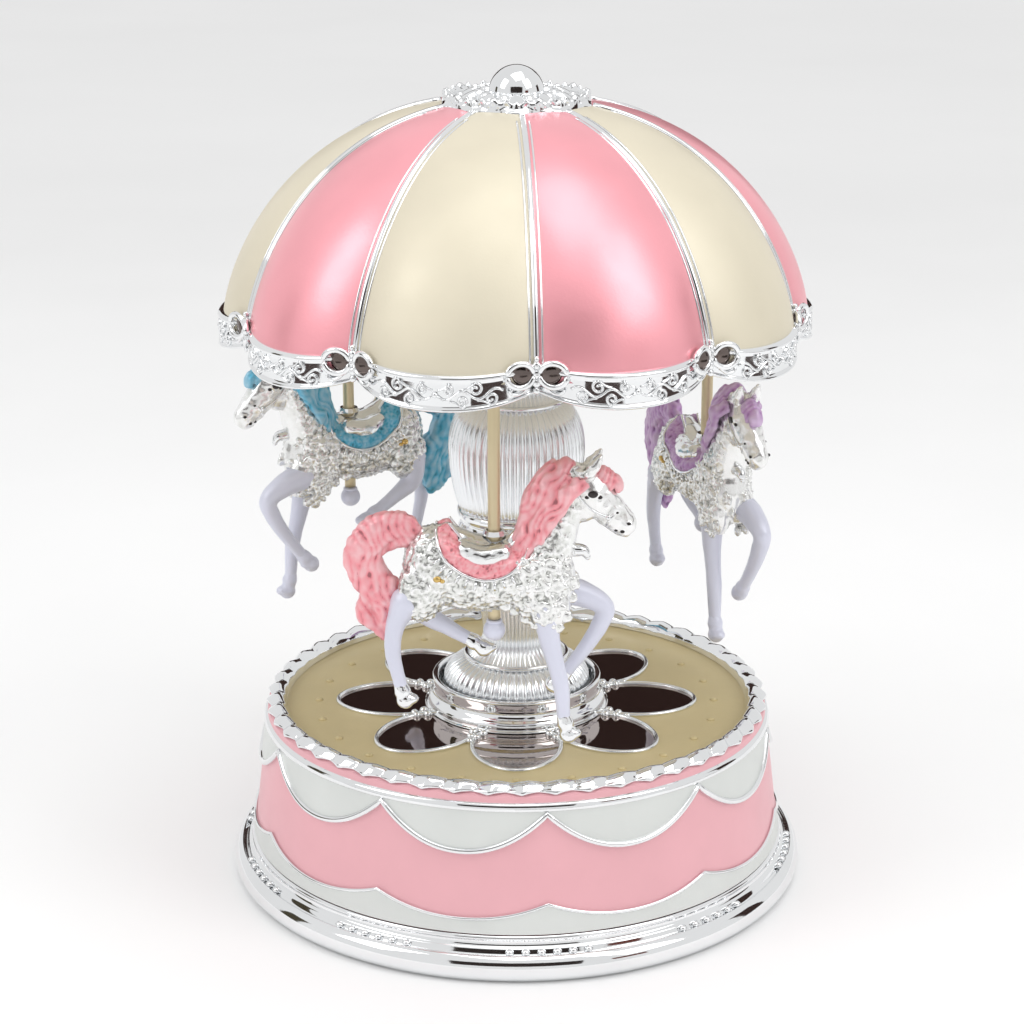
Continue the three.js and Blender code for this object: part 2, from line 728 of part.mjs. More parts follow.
// upright plate with two shelves that hold the ends of the worm
function governorFrame() {
  const [x0, x1] = [42.6, 43.8];
  const plate = bearingPlate(x0, x1, GOVERNOR_Y - 3, WORM_Y + 2, 30.6, [
    [GOVERNOR_Y, AXIS_HEIGHT, GOVERNOR_ARBOR_RADIUS + BEARING_PLAY],
  ]);
  const shelf = (bottom, top) =>
    box(WORM_X - 2, x0 + 0.1, WORM_Y - 1.6, WORM_Y + 1.6, bottom, top);
  const shelfBottom = shelf(BED_TOP + GAP, BED_TOP + 1.5);
  const shelfTop = shelf(28.2, 29.8);
  const pivotRadius = GOVERNOR_ARBOR_RADIUS + BEARING_PLAY;
  const pivots = cylinder(pivotRadius, BED_TOP, 31, WORM_X, WORM_Y, 12);
  return cut(join(plate, shelfBottom, shelfTop), pivots);
}

// ---- the column ----
function columnCup() {
  return lathe(
    [
      [5, DECK_TOP + GAP],
      [18.4, DECK_TOP + GAP],
      [18.5, 35.8],
      [17.5, 39],
      [17.1, 41],
      [16.4, 41],
      [16.3, 37.4],
      [5, 36.6],
    ],
    32,
  );
}

function columnFoot() {
  return lathe(
    [
      [ROD_RADIUS + CLEARANCE, 37.6],
      [12.5, 37.9],
      [15, 38.8],
      [15.2, 40.6],
      [13.4, 43.7],
      [10.6, 45.2],
      [9.6, 46.4],
      [ROD_RADIUS + CLEARANCE, 46.4],
    ],
    28,
  );
}

function columnStem() {
  return lathe(
    [
      [ROD_RADIUS + CLEARANCE, 46.7],
      [8.8, 46.7],
      [6.8, 49],
      [7.6, 55],
      [9.5, 62],
      [10.6, 70],
      [11.9, 73],
      [12, 76.6],
      [ROD_RADIUS + CLEARANCE, 76.6],
    ],
    28,
  );
}

function columnVase() {
  return lathe(
    [
      [ROD_RADIUS + CLEARANCE, 76.9],
      [12, 76.9],
      [13.2, 83],
      [13.9, 90],
      [12.5, 96.5],
      [9.6, 101],
      [COLUMN_NECK, 106],
      [COLUMN_NECK, COLUMN_TOP],
      [ROD_RADIUS + CLEARANCE, COLUMN_TOP],
    ],
    28,
  );
}

// a disc tilted about a level line, on a hub that stands on the column
function camDisc() {
  const disc = lathe(
    [
      [CAM_HUB_RADIUS - 1, CAM_HEIGHT - CAM_THICK],
      [CAM_RADIUS, CAM_HEIGHT - CAM_THICK],
      [CAM_RADIUS, CAM_HEIGHT],
      [CAM_HUB_RADIUS - 1, CAM_HEIGHT],
    ],
    48,
  );
  const tilt = THREE.MathUtils.radToDeg(Math.atan2(CAM_LIFT, CAM_TRACK));
  const tilted = disc
    .translate([0, 0, -CAM_HEIGHT])
    .rotate([tilt, 0, 0])
    .scale([1, -1, 1])
    .translate([0, 0, CAM_HEIGHT]);
  const hub = cylinder(CAM_HUB_RADIUS, COLUMN_TOP + GAP, CAM_HEIGHT + 1.6, 0, 0, 20);
  const solidCam = join(tilted.rotate([0, 0, CAM_HIGH_ANGLE]), hub);
  return cut(solidCam, cylinder(ROD_RADIUS + CLEARANCE, COLUMN_TOP - 1, CAM_HEIGHT + 3));
}

// how far the cam lifts the pole at this angle above the middle of its travel
const camLift = (degrees) =>
  CAM_LIFT * Math.cos(THREE.MathUtils.degToRad(degrees - CAM_HIGH_ANGLE));

// ---- the canopy ----
// A line up the dome, inset from its outer face. Lobes are deepest at the rim and fade out
// towards the crown.
function domeSection(angle, inset) {
  const rows = 6;
  const rise = DOME_RISE - inset;
  const section = [];
  for (let i = 0; i <= rows; i++) {
    const up = Math.sin((Math.PI / 2) * (i / rows));
    const height = THREE.MathUtils.lerp(DOME_RIM, DOME_FOOT + rise * DOME_SPAN, up);
    const share = (height - DOME_FOOT) / rise;
    const level = (1 - share ** DOME_HEIGHT_POWER) ** (1 / DOME_RADIUS_POWER);
    const radius = (DOME_RADIUS - inset) * level;
    const groove = LOBE_DEPTH * (1 - goreShare(angle)) * (radius / DOME_RADIUS);
    section.push([radius - groove, height]);
  }
  return section;
}

function canopyDome() {
  const section = (angle) => [
    ...domeSection(angle, 0),
    ...domeSection(angle, DOME_WALL).reverse(),
  ];
  return lobedRing(section, LOBES * 4);
}

function canopyValance() {
  const section = (angle) => {
    const share = goreShare(angle);
    const outer = RIB_RADIUS + (CANOPY_RADIUS - RIB_RADIUS) * share;
    const bottom = VALANCE_BOTTOM_RIB + (VALANCE_BOTTOM_MIDDLE - VALANCE_BOTTOM_RIB) * share;
    return [
      [outer - 1.7, bottom],
      [outer - 0.6, bottom],
      [outer, bottom + 1.6],
      [outer - 0.3, VALANCE_TOP_MIDDLE - 1.4],
      [outer - 1.1, VALANCE_TOP_MIDDLE],
      [outer - 2.9, VALANCE_TOP_MIDDLE],
    ];
  };
  return lobedRing(section, LOBES * 6);
}

// an upright cylinder at this radius for each pole
function besidePoles(circle, radius, bottom, top) {
  return HORSES.map(({ pole }) => {
    const [x, y] = around(circle, THREE.MathUtils.degToRad(pole));
    return cylinder(radius, bottom, top, x, y, 10);
  });
}

function canopyCeiling() {
  const top = CEILING_BOTTOM + CEILING_THICK;
  const disc = lathe(
    [
      [COLUMN_NECK + 1, CEILING_BOTTOM],
      [CEILING_RADIUS, CEILING_BOTTOM],
      [CEILING_RADIUS, top],
      [COLUMN_NECK + 1, top],
    ],
    40,
  );
  const bosses = besidePoles(POLE_CIRCLE, BOSS_RADIUS, top - 0.2, top + BOSS_HEIGHT);
  const guides = besidePoles(GUIDE_CIRCLE, GUIDE_RADIUS, top - 0.2, GUIDE_TOP);
  const bores = besidePoles(POLE_CIRCLE, POLE_RADIUS + CLEARANCE, CEILING_BOTTOM - 1, top + 5);
  return cut(join(disc, ...bosses, ...guides), ...bores);
}

// a pointed ring round a flat plate, on top of the dome
function crownCollar() {
  const section = (angle) => {
    const petal = Math.abs(Math.cos((angle * CROWN_POINTS) / 2));
    const edge = CROWN_RADIUS - CROWN_POINT_DEPTH * (1 - petal);
    const tip = CROWN_TOP - 1 + petal;
    return [
      [ROD_RADIUS + CLEARANCE, DOME_TOP + GAP],
      [edge - 6, DOME_TOP + GAP],
      [edge, DOME_TOP - 0.4],
      [edge, tip - 0.6],
      [edge - 1, tip],
      [edge - 2.6, CROWN_PLATE - 0.2],
      [ROD_RADIUS + CLEARANCE, CROWN_PLATE],
    ];
  };
  return lobedRing(section, CROWN_POINTS * 4);
}

function finialBall() {
  const centre = TOTAL_HEIGHT - FINIAL_RADIUS;
  const ball = new THREE.SphereGeometry(FINIAL_RADIUS, 20, 14);
  ball.rotateX(Math.PI / 2);
  const below = cylinder(FINIAL_RADIUS + 1, centre - FINIAL_RADIUS - 1, CROWN_PLATE + GAP);
  const bore = cylinder(ROD_RADIUS + CLEARANCE, CROWN_PLATE - 1, centre + 2);
  return cut(solid(ball, at(0, 0, centre)), below, bore);
}

// ---- the horses ----
// Each horse is drawn facing +X, with the origin where its pole meets the saddle.
// Its right-hand legs are at -Y.
function ellipsoid(x, y, z, rx, ry, rz, sides = 10) {
  const geometry = new THREE.SphereGeometry(1, sides, Math.round(sides * 0.6));
  geometry.rotateX(Math.PI / 2);
  return solid(geometry, at(x, y, z).scale(new THREE.Vector3(rx, ry, rz)));
}

// a limb through points of [x, y, z, radius]: a tube with a blunt cone at each end
function limb(points, sides = 5) {
  const centre = points.map(([x, y, z]) => new THREE.Vector3(x, y, z));
  const last = points.length - 1;
  const sideways = new THREE.Vector3(0, 1, 0);
  const along = (from, to) => centre[to].clone().sub(centre[from]).normalize();
  const position = [];
  points.forEach(([, , , radius], i) => {
    const tangent = along(Math.max(i - 1, 0), Math.min(i + 1, last));
    const across = tangent.cross(sideways).normalize();
    for (let k = 0; k < sides; k++) {
      const a = (2 * Math.PI * (k + 0.5)) / sides;
      const ring = centre[i].clone();
      ring.addScaledVector(sideways, radius * Math.cos(a));
      ring.addScaledVector(across, radius * Math.sin(a));
      position.push(...ring);
    }
  });
  const tip = (end, inner) =>
    centre[end].clone().addScaledVector(along(inner, end), points[end][3] * TIP_SHARE);
  const start = position.length / 3;
  position.push(...tip(0, 1), ...tip(last, last - 1));
  const index = [];
  for (let k = 0; k < sides; k++) {
    const next = (k + 1) % sides;
    for (let i = 0; i < last; i++) {
      const [a, b] = [i * sides + k, i * sides + next];
      index.push(a, b, b + sides, a, b + sides, a + sides);
    }
    index.push(start, next, k, start + 1, last * sides + k, last * sides + next);
  }
  const geometry = new THREE.BufferGeometry();
  geometry.setAttribute("position", new THREE.Float32BufferAttribute(position, 3));
  geometry.setIndex(index);
  return outward(geometry);
}

function horse() {
  const trunk = join(
    ellipsoid(-3, 0, -8, 15, 6, 6.6, 10),
    ellipsoid(8.6, 0, -8, 7.8, 5.8, 8.2, 8),
    ellipsoid(-13, 0, -6, 8, 6.2, 8.4, 8),
    ellipsoid(-8, 0, 0.6, 2.2, 4.6, 2.6, 6),
  );
  const neck = limb(
    [
      [9.5, 0, -4, 5.2],
      [12.6, 0, 4.5, 4.4],
      [15, 0, 10.6, 3.5],
    ],
    6,
  );
  const head = limb(
    [
      [15.6, 0, 11.4, 3.4],
      [20.2, 0, 7.8, 2.7],
      [24.2, 0, 3.8, 2.0],
    ],
    6,
  );
  const mane = limb([
    [16.6, 0, 14.4, 2.0],
    [12.4, 0, 13.6, 2.7],
    [9.6, 0, 8.6, 2.8],
    [7.0, 0, 3.0, 2.6],
    [4.6, 0, -1.4, 2.0],
  ]);
  const forelock = ellipsoid(20.6, 0, 12, 2.2, 1.6, 2, 6);
  const ears = [-1.8, 1.8].map((y) =>
    limb([
      [17.2, y, 13.6, 1.2],
      [18.3, y * 1.2, 16.4, 0.5],
    ]),
  );
  const tail = limb([
    [-18.4, 0, 0.4, 2.6],
    [-21.6, 0, 2.6, 3.4],
    [-24.9, 0, -3.6, 3.4],
    [-24.4, 0, -10.6, 3.4],
    [-23.0, 0, -17.0, 2.6],
    [-21.8, 0, -21.4, 1.4],
  ]);
  const rightFore = limb([
    [9.6, -3.2, -13, 3.8],
    [11.0, -3.6, -20.5, 2.3],
    [12.8, -3.6, -30, 1.8],
    [13.8, -3.6, -37.6, 1.7],
    [14.4, -3.6, -39.4, 2.0],
  ]);
  const leftFore = limb([
    [11.0, 3.2, -12.6, 3.8],
    [21.2, 3.6, -15.2, 2.3],
    [17.4, 3.6, -23.0, 1.8],
    [13.2, 3.6, -28.8, 1.6],
    [11.4, 3.6, -30.8, 1.9],
  ]);
  const rightHind = limb([
    [-15.4, -3.2, -11, 4.6],
    [-18.4, -3.8, -20, 2.4],
    [-18.8, -3.8, -27, 1.7],
    [-16.8, -3.8, -32.0, 2.0],
  ]);
  const leftHind = limb([
    [-14.0, 3.2, -11, 4.6],
    [-10.4, 3.8, -18, 2.3],
    [-5.4, 3.8, -20.8, 1.7],
    [-1.2, 3.8, -23.6, 1.8],
  ]);
  const body = join(
    trunk,
    neck,
    head,
    mane,
    forelock,
    ...ears,
    tail,
    rightFore,
    leftFore,
    rightHind,
    leftHind,
  );
  return cut(body, cylinder(POLE_RADIUS + CLEARANCE, -30, 10, 0, 0, 16));
}

// The arm on top of a pole, which reaches in to the cam and out round its guide pin. Its tip
// stops just short of the cam's rim, so that the canopy can turn without the lift.
function followerArm(pole, bottom) {
  const top = bottom + FOLLOWER_THICK;
  const halfWidth = 1.6;
  const [outer, inner] = [-GUIDE_CIRCLE - halfWidth, -CAM_RADIUS - FOLLOWER_GAP];
  const bar = box(-halfWidth, halfWidth, outer, inner, bottom, top);
  const hub = cylinder(2.6, bottom, top, 0, -POLE_CIRCLE, 12);
  const poleBore = cylinder(POLE_RADIUS + CLEARANCE, bottom - 1, top + 1, 0, -POLE_CIRCLE, 12);
  const guideBore = cylinder(GUIDE_RADIUS + CLEARANCE, bottom - 1, top + 1, 0, -GUIDE_CIRCLE, 10);
  return cut(join(bar, hub), poleBore, guideBore).rotate([0, 0, pole]);
}

function saddleCollar() {
  return lathe(
    [
      [POLE_RADIUS + CLEARANCE, 0],
      [2.2, 0],
      [1.9, 0.9],
      [POLE_RADIUS + CLEARANCE, 0.9],
    ],
    12,
  );
}

function addHorse({ name, pole, heading }) {
  const [x, y] = around(POLE_CIRCLE, THREE.MathUtils.degToRad(pole));
  const seat = MEAN_SEAT_HEIGHT + camLift(pole);
  const armBottom = CAM_HEIGHT + camLift(pole) + FOLLOWER_GAP;
  const ballHeight = seat - BALL_DROP;

  const mesh = add(`horse_${name}`, geometryOf(horse(), HORSE_SLIVER), horseWhite);
  mesh.position.set(x, y, seat);
  mesh.rotation.z = THREE.MathUtils.degToRad(heading);

  const poleBottom = ballHeight + BALL_RADIUS + GAP;
  const shaft = cylinder(POLE_RADIUS, poleBottom, armBottom + FOLLOWER_THICK + 0.6, x, y, 12);
  add(`pole_${name}`, geometryOf(shaft), poleCream);
  add(`follower_arm_${name}`, geometryOf(followerArm(pole, armBottom)), brass);

  const round = new THREE.SphereGeometry(BALL_RADIUS, 12, 8).rotateX(Math.PI / 2);
  add(`pole_ball_${name}`, round, horseWhite).position.set(x, y, ballHeight);
  const collar = add(`saddle_collar_${name}`, geometryOf(saddleCollar()), silver);
  collar.position.set(x, y, seat + COLLAR_LIFT);
}

// ---- assembly ----
add("base_skirt", geometryOf(baseSkirt()), silver);
add("drum_shell", geometryOf(drumShell()), pink);
add("deck_plate", geometryOf(deckPlate()), cream);
add("deck_bezel", geometryOf(deckBezel()), silver);
add("bottom_cover", geometryOf(bottomCover()), blackPlastic);
POSTS.forEach(([x, y], i) => {
  add(`cover_screw_${i + 1}`, geometryOf(screwUp(x, y, COVER_BOTTOM, POST_THREAD)), steel);
});

add("bedplate", geometryOf(bedplate()), zinc);
MOVEMENT_SCREWS.forEach(([x, y], i) => {
  const length = BED_TOP - COVER_BOTTOM - 0.4;
  add(`movement_screw_${i + 1}`, geometryOf(screwUp(x, y, COVER_BOTTOM, length)), steel);
});
add("barrel_bridge", geometryOf(barrelBridge()), zinc);

const bracketTop = AXIS_HEIGHT + 3;
const cylinderBearing = [0, AXIS_HEIGHT, CYLINDER_ARBOR_RADIUS + BEARING_PLAY];
const governorBearing = [GOVERNOR_Y, AXIS_HEIGHT, GOVERNOR_ARBOR_RADIUS + BEARING_PLAY];
const innerBracket = bearingPlate(12.2, 13.6, -5, 5, bracketTop, [cylinderBearing]);
const outerBracket = bearingPlate(33, 34.3, -4.5, GOVERNOR_Y + 3, bracketTop, [
  cylinderBearing,
  governorBearing,
]);
add("cylinder_bracket_inner", geometryOf(innerBracket), zinc);
add("cylinder_bracket_outer", geometryOf(outerBracket), zinc);
add("comb", geometryOf(comb()), steel);
COMB_SCREWS.forEach((x, i) => add(`comb_screw_${i + 1}`, geometryOf(combScrew(x)), steel));
add("governor_frame", geometryOf(governorFrame()), blackPlastic);
add("clutch_spring", clutchSpring(), steel);

add("winding_key", geometryOf(windingKey()), brass);
add("winding_arbor", geometryOf(windingArbor()), steel);

add("spring_barrel", geometryOf(springBarrel()), brass);
add("crown_wheel", geometryOf(crownWheel()), brass);
add("mainspring", geometryOf(mainspring()), steel);
add(
  "drive_rod",
  geometryOf(cylinder(ROD_RADIUS, CROWN_PITCH_PLANE - 0.5, TOTAL_HEIGHT - FINIAL_RADIUS + 1)),
  steel,
);

add("pinned_cylinder", geometryOf(pinnedCylinder()), brass);
const cylinderArbor = rodAlongX(CYLINDER_ARBOR_RADIUS, 7.6, 37.2, 0, AXIS_HEIGHT);
const governorArbor = rodAlongX(GOVERNOR_ARBOR_RADIUS, 32.6, 44.2, GOVERNOR_Y, AXIS_HEIGHT);
add("cylinder_arbor", geometryOf(cylinderArbor), steel);
add("governor_arbor", geometryOf(governorArbor), steel);

const pinionX = CROWN_WHEEL_RADIUS - CYLINDER_PINION.face / 2;
const wormWheelX = WORM_X - WORM_WHEEL.face / 2;
const betweenTeeth = Math.PI + Math.PI / GOVERNOR_PINION.teeth;
const cylinderBore = CYLINDER_ARBOR_RADIUS + GAP;
const governorBore = GOVERNOR_ARBOR_RADIUS + GAP;
// name, wheel, X of its back face, Y of its axis, angle of a tooth, radius of its bore
const WHEELS = [
  ["cylinder_pinion", CYLINDER_PINION, pinionX, 0, -Math.PI / 2, cylinderBore],
  ["cylinder_wheel", CYLINDER_WHEEL, WHEEL_X, 0, 0, cylinderBore],
  ["governor_pinion", GOVERNOR_PINION, WHEEL_X, GOVERNOR_Y, betweenTeeth, governorBore],
  ["worm_wheel", WORM_WHEEL, wormWheelX, GOVERNOR_Y, 0, governorBore],
];
for (const [name, wheel, x, y, turn, bore] of WHEELS)
  add(name, geometryOf(wheelAlongX(wheel, x, y, AXIS_HEIGHT, turn, bore)), whiteNylon);

add("governor_worm", geometryOf(governorWorm()), steel);
add("air_brake", geometryOf(airBrake()), blackPlastic);

add("column_cup", geometryOf(columnCup()), silver);
add("column_foot", geometryOf(columnFoot()), silver);
add("column_stem", geometryOf(columnStem()), silver);
add("column_vase", geometryOf(columnVase()), silver);
add("cam_disc", geometryOf(camDisc()), whiteNylon);
add("canopy_ceiling", geometryOf(canopyCeiling()), satinSilver);
add("canopy_valance", geometryOf(canopyValance()), silver);
add("canopy_dome", geometryOf(canopyDome()), cream);
add("crown_collar", geometryOf(crownCollar()), silver);
add("finial_ball", geometryOf(finialBall()), silver);
HORSES.forEach(addHorse);

export default carousel;
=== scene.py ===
# A wind-up carousel music box: the fine surface over the CAD frame.
# Shapes are worked out in millimetres and scaled to metres as each mesh is made.
# Angles round the object run from the front (-Y) towards +X.
import math
import random

import bmesh
import bpy
from mathutils import Matrix, Vector, noise
from mathutils.bvhtree import BVHTree


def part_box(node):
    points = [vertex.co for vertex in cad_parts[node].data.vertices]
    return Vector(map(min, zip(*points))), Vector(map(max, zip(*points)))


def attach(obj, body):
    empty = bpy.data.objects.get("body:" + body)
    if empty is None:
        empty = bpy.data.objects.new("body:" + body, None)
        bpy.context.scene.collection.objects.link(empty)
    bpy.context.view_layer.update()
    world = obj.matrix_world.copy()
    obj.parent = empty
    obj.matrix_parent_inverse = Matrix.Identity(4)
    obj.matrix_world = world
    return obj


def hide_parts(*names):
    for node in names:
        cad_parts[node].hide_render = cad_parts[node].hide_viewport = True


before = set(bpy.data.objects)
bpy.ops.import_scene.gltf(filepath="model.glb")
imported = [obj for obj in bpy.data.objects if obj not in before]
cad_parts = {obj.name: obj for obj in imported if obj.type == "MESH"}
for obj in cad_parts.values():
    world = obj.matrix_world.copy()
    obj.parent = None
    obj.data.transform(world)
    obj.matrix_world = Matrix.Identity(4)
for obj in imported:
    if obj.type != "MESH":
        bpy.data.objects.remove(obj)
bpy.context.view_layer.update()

MM = 0.001
WELD = 1e-7  # metres, points closer than this are one
TURN = 2 * math.pi

# ---- driving dimensions, from the frame where it has them ----
LOBES = 10
LOBE = TURN / LOBES
FIRST_RIB = math.radians(3.7)
SWAG_CUSP = math.radians(6.4)
DECK_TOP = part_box("deck_plate")[1].z / MM
DRUM_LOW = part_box("drum_shell")[0].z / MM
DRUM_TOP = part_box("drum_shell")[1].z / MM
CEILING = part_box("canopy_ceiling")[0].z / MM
HORSE_TURN = {"pink": 0, "purple": -69, "blue": 211}  # degrees, from +X
BALL_DROP = 18
SEAT = {
    name: (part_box(f"pole_ball_{name}")[0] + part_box(f"pole_ball_{name}")[1]) / (2 * MM)
    + Vector((0, 0, BALL_DROP))
    for name in HORSE_TURN
}

DOME_RADIUS = 58.6
DOME_FOOT = 117
DOME_RISE = 44.25
DOME_WALL = 1.4
DOME_EDGE = 118.4  # the lower edge of the gores, behind the valance
DOME_CURVE = (1.65, 2.45)  # exponents of the dome's outline
LOBE_DEPTH = 3.1
VALANCE_RADIUS = 59.6
VALANCE_DEPTH = 4.5
VALANCE_TOP = 119.7
VALANCE_BOTTOM = 113.3
VALANCE_ARCH = 3.1
BOW_HEIGHT = 119.9
CROWN_FOOT_RADIUS = 14.3
FLUTES = 54
PETALS = 8
PETAL_LENGTH, PETAL_WIDTH = 22.6, 17.8
PETAL_CIRCLE = 26.2
BEZEL_LOBES = 50
DRUM_FOOT_RADIUS = 55.4
DRUM_TAPER = 3.4
PANEL_TOP = 33.4
GARLAND = (32.4, 7.6)  # height of the cusps and drop between them
FOOT_GARLAND = (14.5, 3.1)
PANEL_PROUD = 0.32


# ---- materials ----
NOISE_DETAIL = 4
NOISE_MIDDLE = (0.3, 0.7)  # the noise's values seldom leave this range
COLOUR_STOPS = (0.32, 0.68)
GRAIN_DEPTH = 0.0004  # metres
RELIEF_STOPS = (0.2, 0.4, 0.85)  # where the floor (painted shade), hollow and crest (painted highlight) colours stand
RELIEF_DRIFT = 0.35  # share of noise mixed into the relief


def node_tree(name):
    """A new material, its node tree and its shader."""
    material = bpy.data.materials.new(name)
    material.use_nodes = True
    tree = material.node_tree
    return material, tree, tree.nodes["Principled BSDF"]


def noise_value(tree, scale):
    """The socket of a noise texture laid in the object's own space."""
    texture = tree.nodes.new("ShaderNodeTexNoise")
    texture.inputs["Scale"].default_value = scale
    texture.inputs["Detail"].default_value = NOISE_DETAIL
    own_space = tree.nodes.new("ShaderNodeTexCoord").outputs["Object"]
    tree.links.new(own_space, texture.inputs["Vector"])
    return texture.outputs["Fac"]


def spread(tree, value, low, high):
    """value's middle range stretched to run from low to high."""
    ramp = tree.nodes.new("ShaderNodeMapRange")
    ramp.inputs["From Min"].default_value = NOISE_MIDDLE[0]
    ramp.inputs["From Max"].default_value = NOISE_MIDDLE[1]
    ramp.inputs["To Min"].default_value = low
    ramp.inputs["To Max"].default_value = high
    tree.links.new(value, ramp.inputs["Value"])
    return ramp.outputs["Result"]


def blend_colours(tree, value, *colours):
    """The socket of a ramp from the first colour to the second."""
    ramp = tree.nodes.new("ShaderNodeValToRGB")
    for stop, position, colour in zip(ramp.color_ramp.elements, COLOUR_STOPS, colours):
        stop.position = position
        stop.color = (*colour, 1)
    tree.links.new(value, ramp.inputs["Fac"])
    return ramp.outputs["Color"]


def finish(name, colours, metallic, roughness, grain=900, bump=0.02, patch=60, **extra):
    """Colour drifts between two close shades, roughness between two values, and a fine grain
    stands in the normal. extra sets the shader's own sockets."""
    material, tree, shader = node_tree(name)
    colour = blend_colours(tree, noise_value(tree, patch), *colours)
    tree.links.new(colour, shader.inputs["Base Color"])
    rough = spread(tree, noise_value(tree, patch * 3), *roughness)
    tree.links.new(rough, shader.inputs["Roughness"])
    relief = tree.nodes.new("ShaderNodeBump")
    relief.inputs["Strength"].default_value = bump
    relief.inputs["Distance"].default_value = GRAIN_DEPTH
    tree.links.new(noise_value(tree, grain), relief.inputs["Height"])
    tree.links.new(relief.outputs["Normal"], shader.inputs["Normal"])
    shader.inputs["Metallic"].default_value = metallic
    for socket, value in extra.items():
        shader.inputs[socket.replace("_", " ")].default_value = value
    return material


def shade(r, g, b, spread_by=0.06):
    """Two close shades round one linear colour."""
    dark = tuple(c * (1 - spread_by) for c in (r, g, b))
    light = tuple(min(1, c * (1 + spread_by)) for c in (r, g, b))
    return dark, light


CHROME = finish("chrome", shade(0.86, 0.87, 0.88, 0.03), 1.0, (0.03, 0.09), 500, 0.02)
SOFT_CHROME = finish("soft_chrome", shade(0.84, 0.85, 0.85, 0.03), 1.0, (0.14, 0.22), 700, 0.03)
SILVERED = finish("column_silver", shade(0.88, 0.9, 0.92, 0.03), 0.85, (0.16, 0.26), 700, 0.03)
# Dark plating for the hollows inside the valance bows: painted shade and dark reflection.
BOW_PAINTED_SHADE = finish("bow_painted_shade", shade(0.16, 0.13, 0.12, 0.1), 1.0, (0.1, 0.16), 700, 0.03)
PANEL_PINK = finish(
    "canopy_pink", shade(0.93, 0.4, 0.45, 0.04), 0.6, (0.32, 0.38), 1800, 0.05, Coat_Weight=0.15
)
PANEL_CREAM = finish(
    "canopy_cream", shade(0.72, 0.66, 0.52, 0.03), 0.3, (0.45, 0.52), 1800, 0.05, Coat_Weight=0.08
)
DRUM_PINK = finish("drum_pink", shade(0.81, 0.43, 0.47, 0.03), 0.2, (0.34, 0.42), 1500, 0.04)
PANEL_SILVER = finish("swag_silver", shade(0.7, 0.72, 0.7, 0.03), 0.5, (0.32, 0.4), 1500, 0.04)
DECK_CREAM = finish("deck_cream", shade(0.64, 0.53, 0.29, 0.04), 0.15, (0.34, 0.46), 1200, 0.08)
# The petal mirrors' dark reddish colour is partly their own tint and partly painted dark reflection.
MIRROR = finish("petal_mirror", shade(0.46, 0.4, 0.38, 0.03), 1.0, (0.03, 0.05), 300, 0.01)
POLE_GOLD = finish("pole_gold", shade(0.66, 0.56, 0.36), 0.45, (0.3, 0.4), 1500, 0.05)
CEILING_CREAM = finish("ceiling_cream", shade(0.74, 0.69, 0.58, 0.05), 0, (0.45, 0.55), 1200, 0.1)
LEG_LILAC = finish("horse_legs", shade(0.68, 0.69, 0.8, 0.04), 0.1, (0.28, 0.4), 1500, 0.04)
EYE_BLACK = finish("horse_eye", shade(0.02, 0.015, 0.015, 0.2), 0, (0.1, 0.2), 900, 0.01)
STEEL = finish("steel", shade(0.42, 0.44, 0.46), 1.0, (0.25, 0.42), 1600, 0.15)
ZINC = finish("zinc", shade(0.38, 0.38, 0.36, 0.12), 0.9, (0.45, 0.62), 900, 0.3)
BRASS = finish("brass", shade(0.72, 0.5, 0.18, 0.1), 1.0, (0.18, 0.34), 1200, 0.1)
BLACK_PLASTIC = finish("black_plastic", shade(0.03, 0.028, 0.026, 0.2), 0, (0.45, 0.6), 1500, 0.5)
NYLON = finish("nylon", shade(0.78, 0.76, 0.7, 0.05), 0, (0.4, 0.5), 1200, 0.2)
TINTS = {"pink": (0.86, 0.29, 0.33), "purple": (0.5, 0.27, 0.56), "blue": (0.08, 0.42, 0.62)}


def relief_painted_light_finish(name, hollow, crest, metallic, roughness, floor):
    """A finish from hollow to crest colour by the mesh's relief attribute: painted shade darkens the
    hollows and a painted highlight pales the crests; floor is how much of the hollow colour is left
    in the deepest hollows."""
    material, tree, shader = node_tree(name)
    depth = tree.nodes.new("ShaderNodeAttribute")
    depth.attribute_name = "relief"
    drift = noise_value(tree, 700)
    mix = tree.nodes.new("ShaderNodeMath")
    mix.operation = "MULTIPLY_ADD"
    mix.inputs[1].default_value = RELIEF_DRIFT
    tree.links.new(drift, mix.inputs[0])
    tree.links.new(depth.outputs["Fac"], mix.inputs[2])
    ramp = tree.nodes.new("ShaderNodeValToRGB")
    low, middle, high = RELIEF_STOPS
    stops = ramp.color_ramp.elements
    stops[0].position = low
    stops[0].color = (*(c * floor for c in hollow), 1)
    stops[1].position = high
    stops[1].color = (*crest, 1)
    stops.new(middle).color = (*hollow, 1)
    tree.links.new(mix.outputs["Value"], ramp.inputs["Fac"])
    tree.links.new(ramp.outputs["Color"], shader.inputs["Base Color"])
    rough = spread(tree, noise_value(tree, 500), *roughness)
    tree.links.new(rough, shader.inputs["Roughness"])
    shader.inputs["Metallic"].default_value = metallic
    return material


def tint_material(name):
    """The pearly colour of one horse's mane, tail and blanket, with painted shade in its hollows and
    a painted highlight on its crests.
    """
    # the crest colour, paled towards white: a painted highlight
    pale = tuple(min(1, c * 0.7 + 0.3) for c in TINTS[name])
    return relief_painted_light_finish(f"hair_{name}", TINTS[name], pale, 0.2, (0.28, 0.42), 0.45)


# The coat and chest cloth: painted shade darkens the lace's pits to a tenth of the hollow colour and
# a painted highlight whitens its crests.
COAT_SILVER = relief_painted_light_finish(
    "horse_coat", (0.74, 0.75, 0.72), (0.95, 0.95, 0.95), 0.75, (0.16, 0.28), 0.1
)


# ---- mesh building ----
def around(radius, angle, z):
    return (radius * math.sin(angle), -radius * math.cos(angle), z)


def about_z(angle):
    return Matrix.Rotation(angle, 3, "Z")


